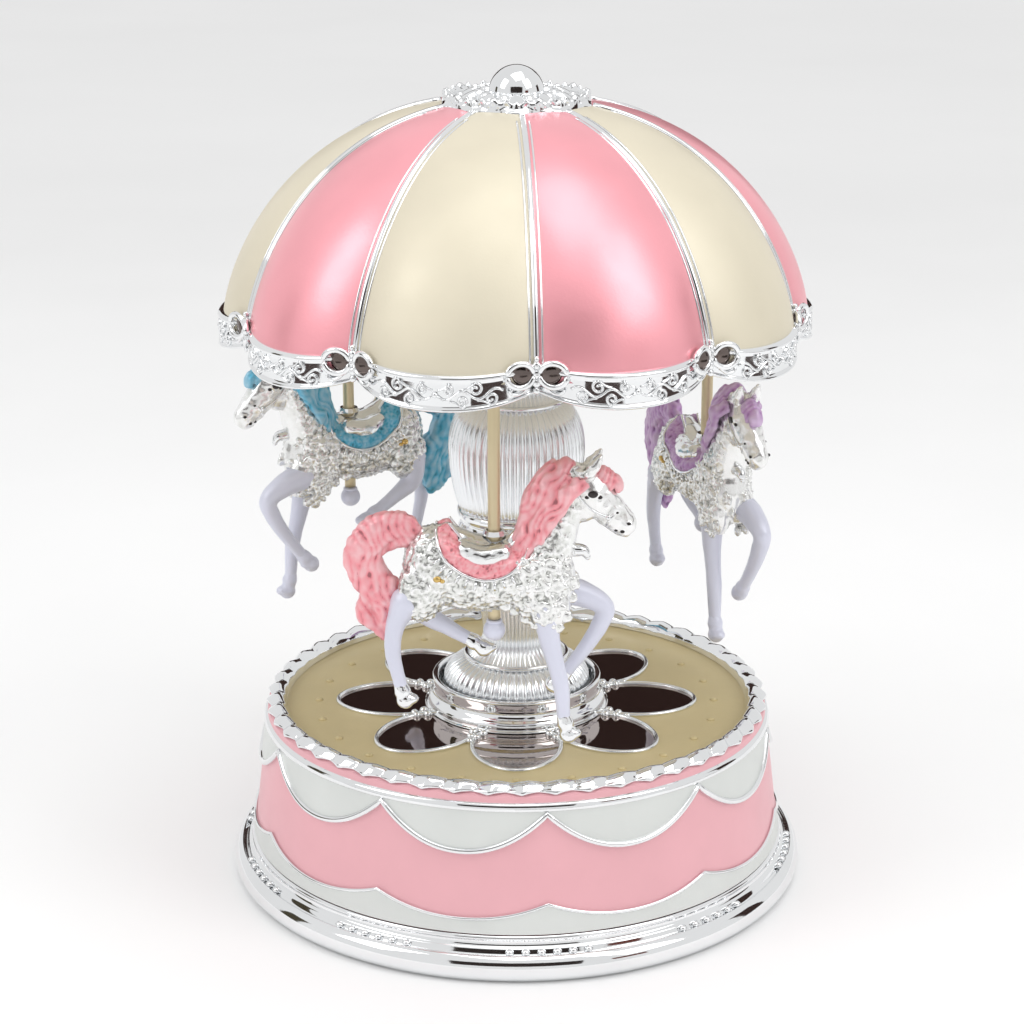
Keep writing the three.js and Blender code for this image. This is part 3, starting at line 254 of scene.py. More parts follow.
def circle(centre, across, other, radius, sides):
    """Points round centre in the plane of across and other."""
    angles = [TURN * k / sides for k in range(sides)]
    return [centre + radius * (math.cos(a) * across + math.sin(a) * other) for a in angles]


def linked(name, data):
    """A new object in the scene that holds the data."""
    made = bpy.data.objects.new(name, data)
    bpy.context.scene.collection.objects.link(made)
    return made


class Shape:
    """Vertices in millimetres and faces with a material number each, gathered into one mesh."""

    def __init__(self):
        self.vertices = []
        self.faces = []
        self.slots = []

    def add(self, vertices, faces, slot=0):
        start = len(self.vertices)
        self.vertices += [tuple(v) for v in vertices]
        self.faces += [tuple(start + i for i in face) for face in faces]
        self.slots += [slot] * len(faces)

    def skin(self, rows, wrap=True, cap=False, slot=0):
        """Quads between neighbouring rows of points; wrap closes each row on itself."""
        width = len(rows[0])
        columns = width if wrap else width - 1
        faces = [
            (i * width + j, i * width + (j + 1) % width,
             (i + 1) * width + (j + 1) % width, (i + 1) * width + j)
            for i in range(len(rows) - 1)
            for j in range(columns)
        ]
        if cap:
            faces.append(tuple(range(width)))
            faces.append(tuple((len(rows) - 1) * width + j for j in range(width)))
        self.add([p for row in rows for p in row], faces, slot)

    def tube(self, points, radius, sides=8):
        """A round tube along points; radius is a number or a function of 0..1 along it."""
        path = [Vector(p) for p in points]
        width = radius if callable(radius) else (lambda _: radius)
        rows = []
        across = None
        for i, point in enumerate(path):
            along = (path[min(i + 1, len(path) - 1)] - path[max(i - 1, 0)]).normalized()
            if across is None:
                across = along.orthogonal().normalized()
            across = (across - along * across.dot(along)).normalized()
            other = along.cross(across)
            rows.append(circle(point, across, other, width(i / (len(path) - 1)), sides))
        self.skin(rows, cap=True)

    def loop(self, points, radius, sides=8):
        """A closed round tube round a ring of points."""
        path = [Vector(p) for p in points]
        count = len(path)
        rows = []
        for i, point in enumerate(path):
            along = (path[(i + 1) % count] - path[i - 1]).normalized()
            across = along.cross(Vector((0, 0, 1))).normalized()
            other = along.cross(across)
            rows.append(circle(point, across, other, radius, sides))
        self.skin(rows + rows[:1])

    def ball(self, centre, radii, segments=16, rings=10, turn=None):
        """An ellipsoid; radii is one number or three, turned by the matrix turn."""
        rx, ry, rz = radii if hasattr(radii, "__len__") else (radii, radii, radii)
        rows = []
        for i in range(rings + 1):
            up = math.pi * i / rings
            row = []
            for k in range(segments):
                a = TURN * k / segments
                p = Vector((rx * math.sin(up) * math.cos(a), ry * math.sin(up) * math.sin(a),
                            -rz * math.cos(up)))
                row.append((turn @ p if turn else p) + Vector(centre))
            rows.append(row)
        self.skin(rows)

    def object(self, name, materials, smooth=True):
        mesh = bpy.data.meshes.new(name)
        scaled = [(x * MM, y * MM, z * MM) for x, y, z in self.vertices]
        mesh.from_pydata(scaled, [], self.faces)
        for material in materials:
            mesh.materials.append(material)
        mesh.polygons.foreach_set("material_index", self.slots)
        mesh.polygons.foreach_set("use_smooth", [smooth] * len(self.faces))
        welded = bmesh.new()
        welded.from_mesh(mesh)
        bmesh.ops.remove_doubles(welded, verts=welded.verts, dist=WELD)
        bmesh.ops.recalc_face_normals(welded, faces=welded.faces)
        welded.to_mesh(mesh)
        welded.free()
        return linked(name, mesh)


def place(piece, body, slot, *nodes):
    """The piece rides on the body and stands for the nodes; slot is not used."""
    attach(piece, body)
    if nodes:
        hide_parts(*nodes)
    return piece


def smooth_line(points, steps=8):
    """A Catmull-Rom curve through points of any number of values."""
    padded = [points[0], *points, points[-1]]
    line = []
    for i in range(1, len(padded) - 2):
        a, b, c, d = padded[i - 1:i + 3]
        for k in range(steps):
            t = k / steps
            line.append(tuple(
                0.5 * (2 * q + (r - p) * t + (2 * p - 5 * q + 4 * r - s) * t * t
                       + (3 * q - p - 3 * r + s) * t ** 3)
                for p, q, r, s in zip(a, b, c, d)
            ))
    line.append(tuple(points[-1]))
    return line


def revolve(profile, segments, radius=lambda r, angle, z: r):
    """Rows for a surface of revolution whose radius may vary with the angle."""
    return [
        [around(radius(r, TURN * k / segments, z), TURN * k / segments, z)
         for k in range(segments)]
        for r, z in profile
    ]


def spiral(centre, size, turns, start, flip=1, steps=18):
    """Flat points of a scroll that winds inwards round centre."""
    points = []
    for i in range(steps + 1):
        t = i / steps
        r = size * (1 - 0.78 * t)
        a = start + flip * TURN * turns * t
        points.append((centre[0] + r * math.cos(a), centre[1] + r * math.sin(a)))
    return points


# ---- canopy ----
def bulge(angle):
    """0 at a rib and 1 at the middle of a gore."""
    fullness = 2.2
    u = ((angle - FIRST_RIB) / LOBE) % 1
    return 1 - abs(2 * u - 1) ** fullness


def dome_radius(angle, z):
    """The dome's radius, drawn in at the ribs by a depth that fades towards the top."""
    fade = 1.2
    share = max(0.0, (z - DOME_FOOT) / DOME_RISE)
    r = DOME_RADIUS * max(0.0, 1 - share ** DOME_CURVE[0]) ** (1 / DOME_CURVE[1])
    return r - LOBE_DEPTH * (1 - bulge(angle)) * (r / DOME_RADIUS) ** fade


def canopy():
    columns = 28  # per gore
    levels = 44
    top = DOME_FOOT + DOME_RISE * 0.997  # a hair under the peak, where the radius is nil
    heights = [DOME_EDGE + (top - DOME_EDGE) * math.sin(math.pi / 2 * i / levels)
               for i in range(levels + 1)]
    dome = Shape()
    for gore in range(LOBES):
        angles = [FIRST_RIB + LOBE * (gore + j / columns) for j in range(columns + 1)]
        outer = [[around(dome_radius(a, z), a, z) for a in angles] for z in heights]
        inner = [[around(dome_radius(a, z) - DOME_WALL, a, z) for a in angles] for z in heights]
        dome.skin(outer + inner[::-1] + outer[:1], wrap=False, slot=gore % 2)
    shell = dome.object("canopy_panels", [PANEL_PINK, PANEL_CREAM])
    place(shell, "carousel", "cream", "canopy_dome")

    rib_top, bead_top = 160.4, 159.6
    bead_offset = 1.15
    ribs = Shape()
    for rib in range(LOBES):
        a = FIRST_RIB + LOBE * rib
        line = [around(dome_radius(a, z) + 0.1, a, z) for z in heights if z < rib_top]
        ribs.tube(line, 0.62, 10)
        for side in (-1, 1):
            bead = []
            for z in heights:
                if z < bead_top:
                    beside = a + side * bead_offset / dome_radius(a, z)
                    bead.append(around(dome_radius(beside, z) + 0.02, beside, z))
            ribs.tube(bead, 0.24, 6)
    place(ribs.object("canopy_ribs", [CHROME]), "carousel", "chrome")


def valance_point(angle, z, out=0.0):
    """A point on the valance's outer face, z measured down as a share of its height."""
    low = 1 - bulge(angle)
    top = VALANCE_TOP + 1.4 * low
    bottom = VALANCE_BOTTOM + VALANCE_ARCH * low
    radius = VALANCE_RADIUS - VALANCE_DEPTH * low + out
    return around(radius, angle, top + (bottom - top) * z)


def valance():
    segments = LOBES * 32
    angles = [FIRST_RIB + TURN * k / segments for k in range(segments)]
    section = [(-2.4, -0.06), (-1.0, -0.07), (-0.35, -0.02), (-0.1, 0.05), (-0.3, 0.13),
               (-0.55, 0.17), (-0.55, 0.2), (-0.55, 0.5), (-0.55, 0.83), (-0.55, 0.86),
               (-0.3, 0.9), (-0.05, 0.95), (-0.3, 1.0), (-1.5, 1.0), (-1.6, 0.5)]
    band = Shape()
    rows = [[valance_point(a, z, out) for a in angles] for out, z in section]
    band.skin(rows + rows[:1])
    place(band.object("valance_band", [CHROME]), "carousel", "chrome", "canopy_valance")

    scrolls = Shape()

    def lay(middle, side, flat, thick=0.26):
        """A raised line on the band: flat holds millimetres along it and shares down it."""
        line = [valance_point(middle + side * x / VALANCE_RADIUS, z, -0.4) for x, z in flat]
        scrolls.tube(line, thick, 6)

    share = 1 / 6.6  # of the band's height, per millimetre
    for lobe in range(LOBES):
        middle = FIRST_RIB + LOBE * (lobe + 0.5)
        for side in (-1, 1):
            stem = [(0.4 + 12 * t / 20, 0.52 + 0.13 * math.sin(t * 0.62)) for t in range(21)]
            lay(middle, side, stem)
            for along, down, size, flip in ((2.4, 0.37, 1.0, 1), (4.9, 0.69, 1.15, -1),
                                            (7.4, 0.35, 1.3, 1), (10.2, 0.69, 1.3, -1)):
                turns = spiral((along, 0), size, 1.2, -flip * math.pi / 2, flip, 22)
                lay(middle, side, [(x, down + y * share) for x, y in turns])
                tail = [(along - size * 1.9 * t / 6, down - flip * size * share * (1 - t / 6) ** 2)
                        for t in range(7)]
                lay(middle, side, tail, 0.2)
        scrolls.ball(valance_point(middle, 0.5, -0.45), 0.6, 10, 8)
    place(scrolls.object("valance_scrolls", [CHROME]), "carousel", "chrome")

    bows, hollows = Shape(), Shape()
    for rib in range(LOBES):
        a = FIRST_RIB + LOBE * rib
        radius = VALANCE_RADIUS - VALANCE_DEPTH + 0.7

        def spot(x, z):
            """A place beside the rib, x along and z up from the bow's middle."""
            turn = a + x / radius
            return around(radius + VALANCE_DEPTH * bulge(turn) * 0.8, turn, BOW_HEIGHT + z)

        for side in (-1, 1):
            ring = [
                spot(side * (2.9 + 2.35 * math.cos(TURN * k / 28)), 2.2 * math.sin(TURN * k / 28))
                for k in range(28)
            ]
            bows.loop(ring, 0.62, 8)
            # A dark ellipsoid behind each loop of the bow: painted shade and dark reflection in its
            # hollow.
            middle = a + side * 2.9 / radius
            back = around(radius + VALANCE_DEPTH * bulge(middle) * 0.8 - 0.75, middle, BOW_HEIGHT)
            hollows.ball(back, (2.2, 0.75, 2.1), 18, 10, about_z(middle))
            drop = [(1.4, -1.8), (2.4, -2.9), (3.4, -3.4), (4.4, -3.2), (4.7, -2.6)]
            bows.tube([spot(side * x, z) for x, z in smooth_line(drop, 4)], 0.34, 6)
        for up, size in ((-3.0, 0.7), (-1.6, 0.85), (0, 1.0), (1.6, 0.8), (2.8, 0.55)):
            knot = around(radius + 0.1, a, BOW_HEIGHT + up)
            bows.ball(knot, (size, 0.6, size), 10, 8, about_z(a))
    place(bows.object("valance_bows", [CHROME]), "carousel", "chrome")
    place(hollows.object("valance_bow_painted_shade", [BOW_PAINTED_SHADE]), "carousel", "chrome")


def crown():
    filigree = Shape()
    plate = [(1.8, 162), (6, 161.9), (9, 161.8), (12.4, 161.5), (14, 161.2), (14.7, 160.4),
             (14.4, 159.6), (13.6, 159.8), (12, 160.6), (1.8, 161)]
    rows = revolve(smooth_line(plate, 3), 120)
    filigree.skin(rows + rows[:1])
    angles = [TURN * k / 120 for k in range(120)]
    foot = [around(CROWN_FOOT_RADIUS + 0.5 * math.cos(LOBES * a), a, 160.2) for a in angles]
    filigree.loop(foot, 0.5, 8)

    def standing(angle, x, z, radius=13.9):
        """A place on the upright rim, x along it and z up."""
        return around(radius, angle + x / radius, z)

    leaflets = ((0, 162.1, 0.95), (-1, 161.5, 0.95), (1, 161.5, 0.95), (0, 160.8, 1))
    for k in range(LOBES):
        a = TURN * (k + 0.5) / LOBES
        for x, z, size in leaflets:
            filigree.ball(standing(a, x, z), (size, 0.7, size), 12, 8, about_z(a))
        for side in (-1, 1):
            flat = spiral((side * 2.9, 161.5), 1.15, 1.1, math.pi / 2, side)
            filigree.tube([standing(a, x, z) for x, z in flat], 0.4, 6)
            stem = [(side * 1.2, 160.5), (side * 2.6, 160.2), (side * 4.3, 160.6)]
            filigree.tube([standing(a, x, z) for x, z in smooth_line(stem, 4)], 0.45, 6)
        gap = TURN * k / LOBES
        filigree.ball(standing(gap, 0, 161.2), (0.7, 0.6, 1.3), 12, 8, about_z(gap))
        leaf = about_z(gap) @ Matrix.Rotation(math.radians(25), 3, "X")
        filigree.ball(around(9.8, gap, 161.9), (1.3, 2.3, 0.6), 12, 8, leaf)
        filigree.ball(around(7.4, a, 162.2), (1.2, 1.5, 0.7), 12, 8, about_z(a))
        filigree.ball(around(11, a, 161.6), 0.8, 10, 8)
    cast = remeshed(filigree, "crown", 0.26, 5)
    cast.materials.append(CHROME)
    place(linked("crown_filigree", cast), "carousel", "chrome", "crown_collar")

    finial = Shape()
    radius = 5.5
    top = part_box("finial_ball")[1].z / MM
    finial.ball((0, 0, top - radius), radius, 64, 40)
    collar = [around(4.6, TURN * k / 48, top - 8.1) for k in range(48)]
    finial.loop(collar, 0.5, 8)
    place(finial.object("finial", [CHROME]), "carousel", "chrome", "finial_ball")


# ---- column ----
def fluted(depth):
    """Narrow rounded ribs with sharp grooves between them."""
    return lambda r, angle, z: r - depth * (1 - abs(math.cos(angle * FLUTES / 2)))


def column_piece(name, node, profile, depth, material):
    segments = FLUTES * 8 if depth else 128
    line = smooth_line(profile, 5)
    piece = Shape()
    piece.skin(revolve(line, segments, fluted(depth)))
    place(piece.object(name, [material]), "base", "chrome", node)


def column_ring(name, radius, z):
    hoop = Shape()
    hoop.loop([around(radius, TURN * k / 128, z) for k in range(128)], 0.5, 10)
    place(hoop.object(name, [CHROME]), "base", "chrome")


def column():
    foot, top = DECK_TOP + 0.25, CEILING + 2
    cup = [(4, foot), (18.0, foot), (18.5, foot + 0.5), (18.4, 36.4), (17.5, 37.4), (17.2, 38.6),
           (17.5, 39.8), (17.6, 40.8), (17.0, 41.1), (16.3, 40.6), (16.1, 38.2), (15.4, 37.6)]
    column_piece("column_cup_bright", "column_cup", cup, 0, CHROME)
    bulb = [(3, 37.4), (13.8, 37.5), (15.1, 38.6), (15.3, 40.2), (14.9, 41.8), (13.7, 43.4),
            (12.2, 44.4), (10.6, 45.2)]
    column_piece("column_bulb_fluted", "column_foot", bulb, 0.7, SILVERED)
    stem = [(10.6, 45.3), (9.2, 46.4), (7.6, 48.2), (7.0, 50.4), (7.4, 54.5), (8.6, 60),
            (9.8, 65.5), (10.5, 70), (10.9, 72)]
    column_piece("column_stem_fluted", "column_stem", stem, 0.5, SILVERED)
    collar = [(10.4, 71.6), (11.6, 72.2), (12.1, 73.2), (11.7, 74.2), (11.4, 75), (11.8, 75.8),
              (12.2, 76.6), (12.0, 77.6), (11, 78)]
    piece = Shape()
    piece.skin(revolve(smooth_line(collar, 5), 128))
    place(piece.object("column_collar_bright", [CHROME]), "base", "chrome")
    vase = [(11.2, 77.6), (12.1, 78.6), (13.0, 82), (13.7, 86.5), (13.95, 90.5), (13.6, 94),
            (12.6, 97), (11.2, 99), (9.8, 100.2), (8.6, 101.6), (7.9, 104), (7.8, 110), (7.8, top)]
    column_piece("column_vase_fluted", "column_vase", vase, 0.6, SILVERED)
    column_ring("column_ring_low", 10.5, 45.6)
    column_ring("column_ring_high", 9.6, 100.6)


# ---- deck ----
def petal_outline(middle):
    """Flat points of one leaf-shaped mirror, pointed a little at its outer end."""
    outline = []
    steps = 48
    for k in range(steps):
        t = TURN * k / steps
        along = PETAL_LENGTH / 2 * math.cos(t)
        taper = 1 - 0.1 * math.cos(t)
        across = PETAL_WIDTH / 2 * math.sin(t) * taper
        outline.append(about_z(middle) @ Vector((across, -(PETAL_CIRCLE + along), 0)))
    return outline


def deck():
    plate = Shape()
    profile = [(17.5, DECK_TOP), (30, DECK_TOP + 0.05), (44, DECK_TOP + 0.1),
               (47.2, DECK_TOP + 0.1), (48.4, DECK_TOP + 0.6), (48.7, DECK_TOP + 1.6)]
    plate.skin(revolve(profile, 192))
    for k in range(24):
        plate.ball(around(41.5, TURN * k / 24, DECK_TOP + 0.1), (0.85, 0.85, 0.5), 12, 8)
    place(plate.object("deck_cream_plate", [DECK_CREAM]), "base", "cream", "deck_plate")

    mirrors, beads = Shape(), Shape()
    for k in range(PETALS):
        middle = TURN * k / PETALS
        lift = Vector((0, 0, DECK_TOP + 0.2))
        outline = [p + lift for p in petal_outline(middle)]
        mirrors.add(outline, [tuple(range(len(outline)))])
        beads.loop([p + Vector((0, 0, 0.12)) for p in outline], 0.5, 8)
        gap = middle + TURN / PETALS / 2
        for radius, size, apart in ((20.4, 0.95, 0.055), (22.6, 0.85, 0.03), (24.8, 0.75, 0)):
            for side in (-1, 1):
                beads.ball(around(radius, gap + side * apart, DECK_TOP + 0.4), size, 12, 8)
    place(mirrors.object("deck_mirrors", [MIRROR], smooth=False), "base", "chrome")
    place(beads.object("deck_beading", [SOFT_CHROME]), "base", "chrome")


def bezel():
    """The gadrooned ring: slanting leaves that end in points over the drum's pink strip."""
    segments = BEZEL_LOBES * 16
    slant = 0.4
    section = [(48.1, 35.3), (48.3, 36.6), (48.9, 37.5), (49.8, 37.95), (50.7, 37.7), (51.5, 37.1),
               (52.0, 36.7), (51.8, 36.25), (50.6, 36.4)]
    line = smooth_line(section, 3)
    rows = []
    for i, (r, z) in enumerate(line):
        t = i / (len(line) - 1)
        row = []
        for k in range(segments):
            a = TURN * k / segments
            ridge = 1 - abs(2 * ((a * BEZEL_LOBES / TURN + slant * t) % 1) - 1)
            swell = math.sin(math.pi * min(1, t * 1.15)) * (ridge ** 0.6 - 0.55)
            point = 1.5 * (ridge - 0.6) * max(0.0, t - 0.45) / 0.55
            row.append(around(r + 0.5 * swell + point, a, z + 0.75 * swell - 0.45 * max(0.0, point)))
        rows.append(row)
    hoop = Shape()
    hoop.skin(rows)
    place(hoop.object("deck_gadroon", [CHROME]), "base", "chrome", "deck_bezel")


# ---- drum ----
def drum_radius(z):
    return DRUM_FOOT_RADIUS - (z - DRUM_LOW) * DRUM_TAPER / (DRUM_TOP - DRUM_LOW)


def swag(angle, cusp, drop):
    """Height of a garland that hangs between cusps."""
    fullness = 2.1
    u = ((angle - SWAG_CUSP) / LOBE) % 1
    return cusp - drop * (1 - abs(2 * u - 1) ** fullness)


def drum_panel(angles, low, high, steps):
    """Rows of a silver panel on the drum between two heights that may vary with the angle."""
    rows = []
    for i in range(steps + 1):
        heights = [low(a) + (high(a) - low(a)) * i / steps for a in angles]
        rows.append([around(drum_radius(z) + PANEL_PROUD, a, z) for a, z in zip(angles, heights)])
    return rows


def drum():
    segments = LOBES * 32
    angles = [SWAG_CUSP + TURN * k / segments for k in range(segments)]
    wall = Shape()
    heights = [DRUM_LOW + (DRUM_TOP - DRUM_LOW) * i / 20 for i in range(21)]
    wall.skin([[around(drum_radius(z), a, z) for a in angles] for z in heights])
    rim = [(drum_radius(DRUM_TOP), DRUM_TOP), (51.4, DRUM_TOP + 0.4), (50, DRUM_TOP + 0.4)]
    wall.skin(revolve(rim, segments))
    inside = [(52.6, 31.2), (52.9, 14), (53.2, DRUM_LOW), (drum_radius(DRUM_LOW), DRUM_LOW)]
    wall.skin(revolve(inside, segments))
    place(wall.object("drum_wall", [DRUM_PINK]), "base", "pink", "drum_shell")

    panels = Shape()
    panels.skin(drum_panel(angles, lambda a: swag(a, *GARLAND), lambda a: PANEL_TOP, 8))
    panels.skin(drum_panel(angles, lambda a: DRUM_LOW, lambda a: swag(a, *FOOT_GARLAND), 6))
    place(panels.object("drum_silver_panels", [PANEL_SILVER]), "base", "chrome")

    edges = Shape()
    for garland, thick in ((GARLAND, 0.66), (FOOT_GARLAND, 0.38)):
        line = [(a, swag(a, *garland)) for a in angles]
        edges.loop([around(drum_radius(z) + PANEL_PROUD, a, z) for a, z in line], thick)
    ledge = [(drum_radius(32.9) + 0.2, 32.9), (drum_radius(33.1) + 0.6, 33.1),
             (drum_radius(33.7) + 0.65, 33.7), (drum_radius(34.3) + 0.45, 34.3),
             (drum_radius(34.6), 34.6)]
    edges.skin(revolve(smooth_line(ledge, 3), segments))
    place(edges.object("drum_chrome_edges", [CHROME]), "base", "chrome")


def skirt():
    flare = Shape()
    profile = [(56.4, 3.6), (56.4, 0.2), (57.0, 0), (58.4, 0), (59.3, 0.7), (59.9, 1.8),
               (59.97, 2.8), (59.7, 3.9), (59.1, 4.8), (58.4, 5.3), (58.0, 5.35), (57.8, 5.1),
               (57.4, 5.0), (57.1, 5.4), (56.8, 6.0), (56.5, 6.2), (56.2, 6.5), (56.0, 7.2),
               (56.1, 7.8), (55.6, 8.3), (54.6, 8.4)]
    flare.skin(revolve(smooth_line(profile, 3), 256))
    inner = [(54.6, 8.4), (53.6, 8.2), (53.6, 6), (56.4, 3.6)]
    flare.skin(revolve(inner, 256))
    place(flare.object("skirt_flare", [CHROME]), "base", "chrome", "base_skirt")

    pearls = Shape()
    in_group = 6
    pitch = 3.1 / 57.6
    for group in range(LOBES):
        for k in range(in_group):
            a = SWAG_CUSP + LOBE * group + (k - (in_group - 1) / 2) * pitch
            pearls.ball(around(57.35, a, 5.7), (0.85, 0.85, 0.6), 12, 8)
    place(pearls.object("skirt_pearls", [CHROME]), "base", "chrome")


# ---- horses ----
# Drawn facing +X with the origin where the pole meets the saddle, right-hand legs at -Y.
def remeshed(shape, name, voxel, passes):
    """The shapes melted into one skin: a voxel remesh, then smoothing."""
    source = shape.object(name + "_source", [])
    remesh = source.modifiers.new("remesh", "REMESH")
    remesh.mode = "VOXEL"
    remesh.voxel_size = voxel * MM
    relax = source.modifiers.new("relax", "SMOOTH")
    relax.factor = 0.5
    relax.iterations = passes
    graph = bpy.context.evaluated_depsgraph_get()
    mesh = bpy.data.meshes.new_from_object(source.evaluated_get(graph))
    bpy.data.objects.remove(source)
    mesh.polygons.foreach_set("use_smooth", [True] * len(mesh.polygons))
    return mesh


def displaced(mesh, height, depth=1.0):
    """Each vertex moved along its normal by height(place in millimetres), in millimetres; the
    relief attribute runs from 0 in the hollows to 1 on the crests, depth apart."""
    heights = [height(vertex.co / MM) for vertex in mesh.vertices]
    moves = [vertex.normal * h * MM for vertex, h in zip(mesh.vertices, heights)]
    for vertex, move in zip(mesh.vertices, moves):
        vertex.co += move
    relief = mesh.attributes.new("relief", "FLOAT", "POINT")
    relief.data.foreach_set("value", [0.36 + h / depth for h in heights])
    return mesh


def limb(shape, points, steps=6, sides=14, flat=1.0):
    """A tapered tube through points of (x, y, z, radius), with round ends; flat squeezes it
    towards its middle plane."""
    line = smooth_line(points, steps)
    radii = [p[3] for p in line]
    count = len(line) - 1
    part = Shape()
    part.tube([p[:3] for p in line], lambda t: radii[round(t * count)], sides)
    for end in (line[0], line[-1]):
        part.ball(end[:3], end[3], sides, 8)
    middle = points[0][1]
    squeezed = [(x, middle + (y - middle) * flat, z) for x, y, z in part.vertices]
    shape.add(squeezed, part.faces)


def coat_mesh():
    body = Shape()
    body.ball((-2.5, 0, -6.9), (12.6, 5.5, 7.1))
    body.ball((8.4, 0, -7.6), (7, 5.3, 8.4))
    body.ball((-10.8, 0, -4.8), (6.5, 5.7, 7.8))
    body.ball((-13.6, -2.6, -9.2), (4.6, 3.2, 6.2))
    body.ball((-12.2, 2.6, -9.2), (4.8, 3.2, 6))
    body.ball((10.2, -2.2, -12.4), (4.2, 3, 5))
    body.ball((11.4, 2.2, -10.4), (4.4, 3.1, 4.4))
    limb(body, [(8, 0, -6, 5.6), (10.4, 0, -0.8, 4.8), (12.2, 0, 4, 3.9), (13.8, 0, 8.6, 3.4)])
    limb(body, [(15.4, 0, 11.8, 3.3), (17.8, 0, 9.9, 3.7), (20.2, 0, 7.4, 3.3), (22.4, 0, 5, 2.9),
                (24.2, 0, 3.2, 2.5)], flat=0.82)
    body.ball((16.5, 0, 7.2), (3.2, 2.6, 3.6))
    for side in (-1, 1):
        limb(body, [(17, side * 1.6, 13, 1.3), (18.6, side * 1.9, 14.8, 1.2),
                    (19.9, side * 1.9, 17, 0.4)], 4, 8)
        body.ball((18.5, side * 2.5, 9.9), (1.5, 0.8, 1.1))
        body.ball((25, side * 1.4, 3.5), (1, 0.7, 0.8))
    mesh = remeshed(body, "coat", 0.34, 3)

    def lace(p):
        """Pearls and leaf edges over rump, flank, shoulder and neck, plain on throat and face."""
        over = max(0.0, min(1.0, (15.4 - p.x + 0.25 * p.z) / 2))
        throat = max(0.0, 1 - math.hypot(p.x - 15.2, (p.z + 1) * 0.4) / 3.4)
        over *= 1 - throat
        face = 0.12 + 0.2 * noise.noise(p / 1.2) * (p.x > 19)
        return over * relief_lace(p) + (1 - over) * face

    return displaced(mesh, lace, 0.56)


def relief_lace(p):
    """Height of the cast lace: pearls of two sizes among winding leaf edges."""
    pearl = math.sqrt(max(0.0, 1 - (noise.voronoi(p / 1.1)[0][0] / 0.5) ** 2))
    grain = math.sqrt(max(0.0, 1 - (noise.voronoi(p / 0.7 + Vector((7, 3, 5)))[0][0] / 0.5) ** 2))
    leaf = max(0.0, 1 - abs(noise.noise(p / 2.2)) * 9)
    return 0.26 * pearl + 0.16 * grain + 0.2 * leaf - 0.14


def side_finder(mesh):
    """A function that gives the half-width of the mesh at a place in its side view."""
    tree = BVHTree.FromPolygons([v.co / MM for v in mesh.vertices],
                                [tuple(p.vertices) for p in mesh.polygons])

    def half_width(x, z):
        hit = tree.ray_cast(Vector((x, -30, z)), Vector((0, 1, 0)))[0]
        return -hit.y if hit and hit.y < 0 else 0.4

    return half_width


def barding_mesh(half_width):
    """The flowered chest cloth: small leaves in a ring of petals round each blossom, and a
    scalloped lower edge."""
    chance = random.Random(4)
    cloth = Shape()
    blossoms = [(5.4, -4.2), (9, -3.4), (12.4, -3.6), (6.4, -8), (10.2, -7.4), (13.4, -7.8),
                (7.6, -11.8), (11.4, -11.6), (9.4, -15)]
    hem = [(2.2, -12.2), (4, -14), (6, -15.6), (8, -16.8), (10, -17.2), (12, -16.2), (13.6, -14),
           (14.6, -11.2), (15, -8.2)]
    for side in (-1, 1):
        for x, z in blossoms:
            spin = chance.uniform(0, TURN)
            for k in range(6):
                a = spin + TURN * k / 6
                px, pz = x + 1.45 * math.cos(a), z + 1.45 * math.sin(a)
                tilt = Matrix.Rotation(-a, 3, "Y")
                cloth.ball((px, side * half_width(px, pz), pz), (0.95, 0.5, 0.6), 10, 8, tilt)
            cloth.ball((x, side * (half_width(x, z) + 0.3), z), 0.6, 10, 8)
        for x, z in hem:
            y = side * (half_width(x, z) + 0.1)
            cloth.ball((x, y, z), (1.25, 0.55, 1.1), 12, 8)
    mesh = remeshed(cloth, "barding", 0.3, 1)
    return displaced(mesh, lambda p: 0.5 * relief_lace(p) + 0.1, 0.6)


def legs_mesh():
    legs = Shape()
    limb(legs, [(9.8, -2.6, -12.5, 2.8), (10.3, -3, -18, 2.15), (11.6, -3.2, -23.6, 1.7),
                (12.7, -3.3, -28.4, 1.6), (13.2, -3.3, -34.6, 1.3)])
    limb(legs, [(12, 2.6, -10.8, 3), (16.6, 3, -11.8, 2.6), (21, 3.2, -14.6, 1.95),
                (20, 3.2, -18.4, 1.75), (17, 3.2, -23.4, 1.45), (13.6, 3.2, -28, 1.3)])
    limb(legs, [(-16.6, -2.8, -11.4, 3), (-18.6, -3.1, -16, 1.9), (-19.2, -3.2, -20.8, 1.6),
                (-18.5, -3.2, -25, 1.35), (-17.7, -3.2, -28.4, 1.3)])
    limb(legs, [(-13.6, 2.6, -10.4, 3.2), (-13.4, 3, -15.4, 2.3), (-9, 3.2, -18.6, 1.6),
                (-5, 3.2, -21, 1.35)])
    mesh = remeshed(legs, "legs", 0.36, 4)
    return displaced(mesh, lambda p: 0.06 * noise.noise(p / 2), 1)


def hooves_mesh():
    """The plated feet: fetlock, pastern and a flared hoof."""
    hooves = Shape()
    feet = [((13.2, -3.3, -34.6), (14.1, -3.3, -38)), ((13.6, 3.2, -28), (11.4, 3.2, -30.4)),
            ((-17.7, -3.2, -28.4), (-16.9, -3.2, -31)), ((-5, 3.2, -21), (-2, 3.2, -22.9))]
    for top, bottom in feet:
        top, bottom = Vector(top), Vector(bottom)
        radii = [1.4, 1.65, 1.45, 1.8]
        points = [(*top.lerp(bottom, i / 3), r) for i, r in enumerate(radii)]
        limb(hooves, points, 3, 14)
        hooves.ball(bottom + Vector((0.5, 0, 0.2)), (2.1, 1.6, 1.15), 16, 10)
    mesh = remeshed(hooves, "hooves", 0.32, 2)
    return displaced(mesh, lambda p: 0.05 * noise.noise(p / 1), 1)


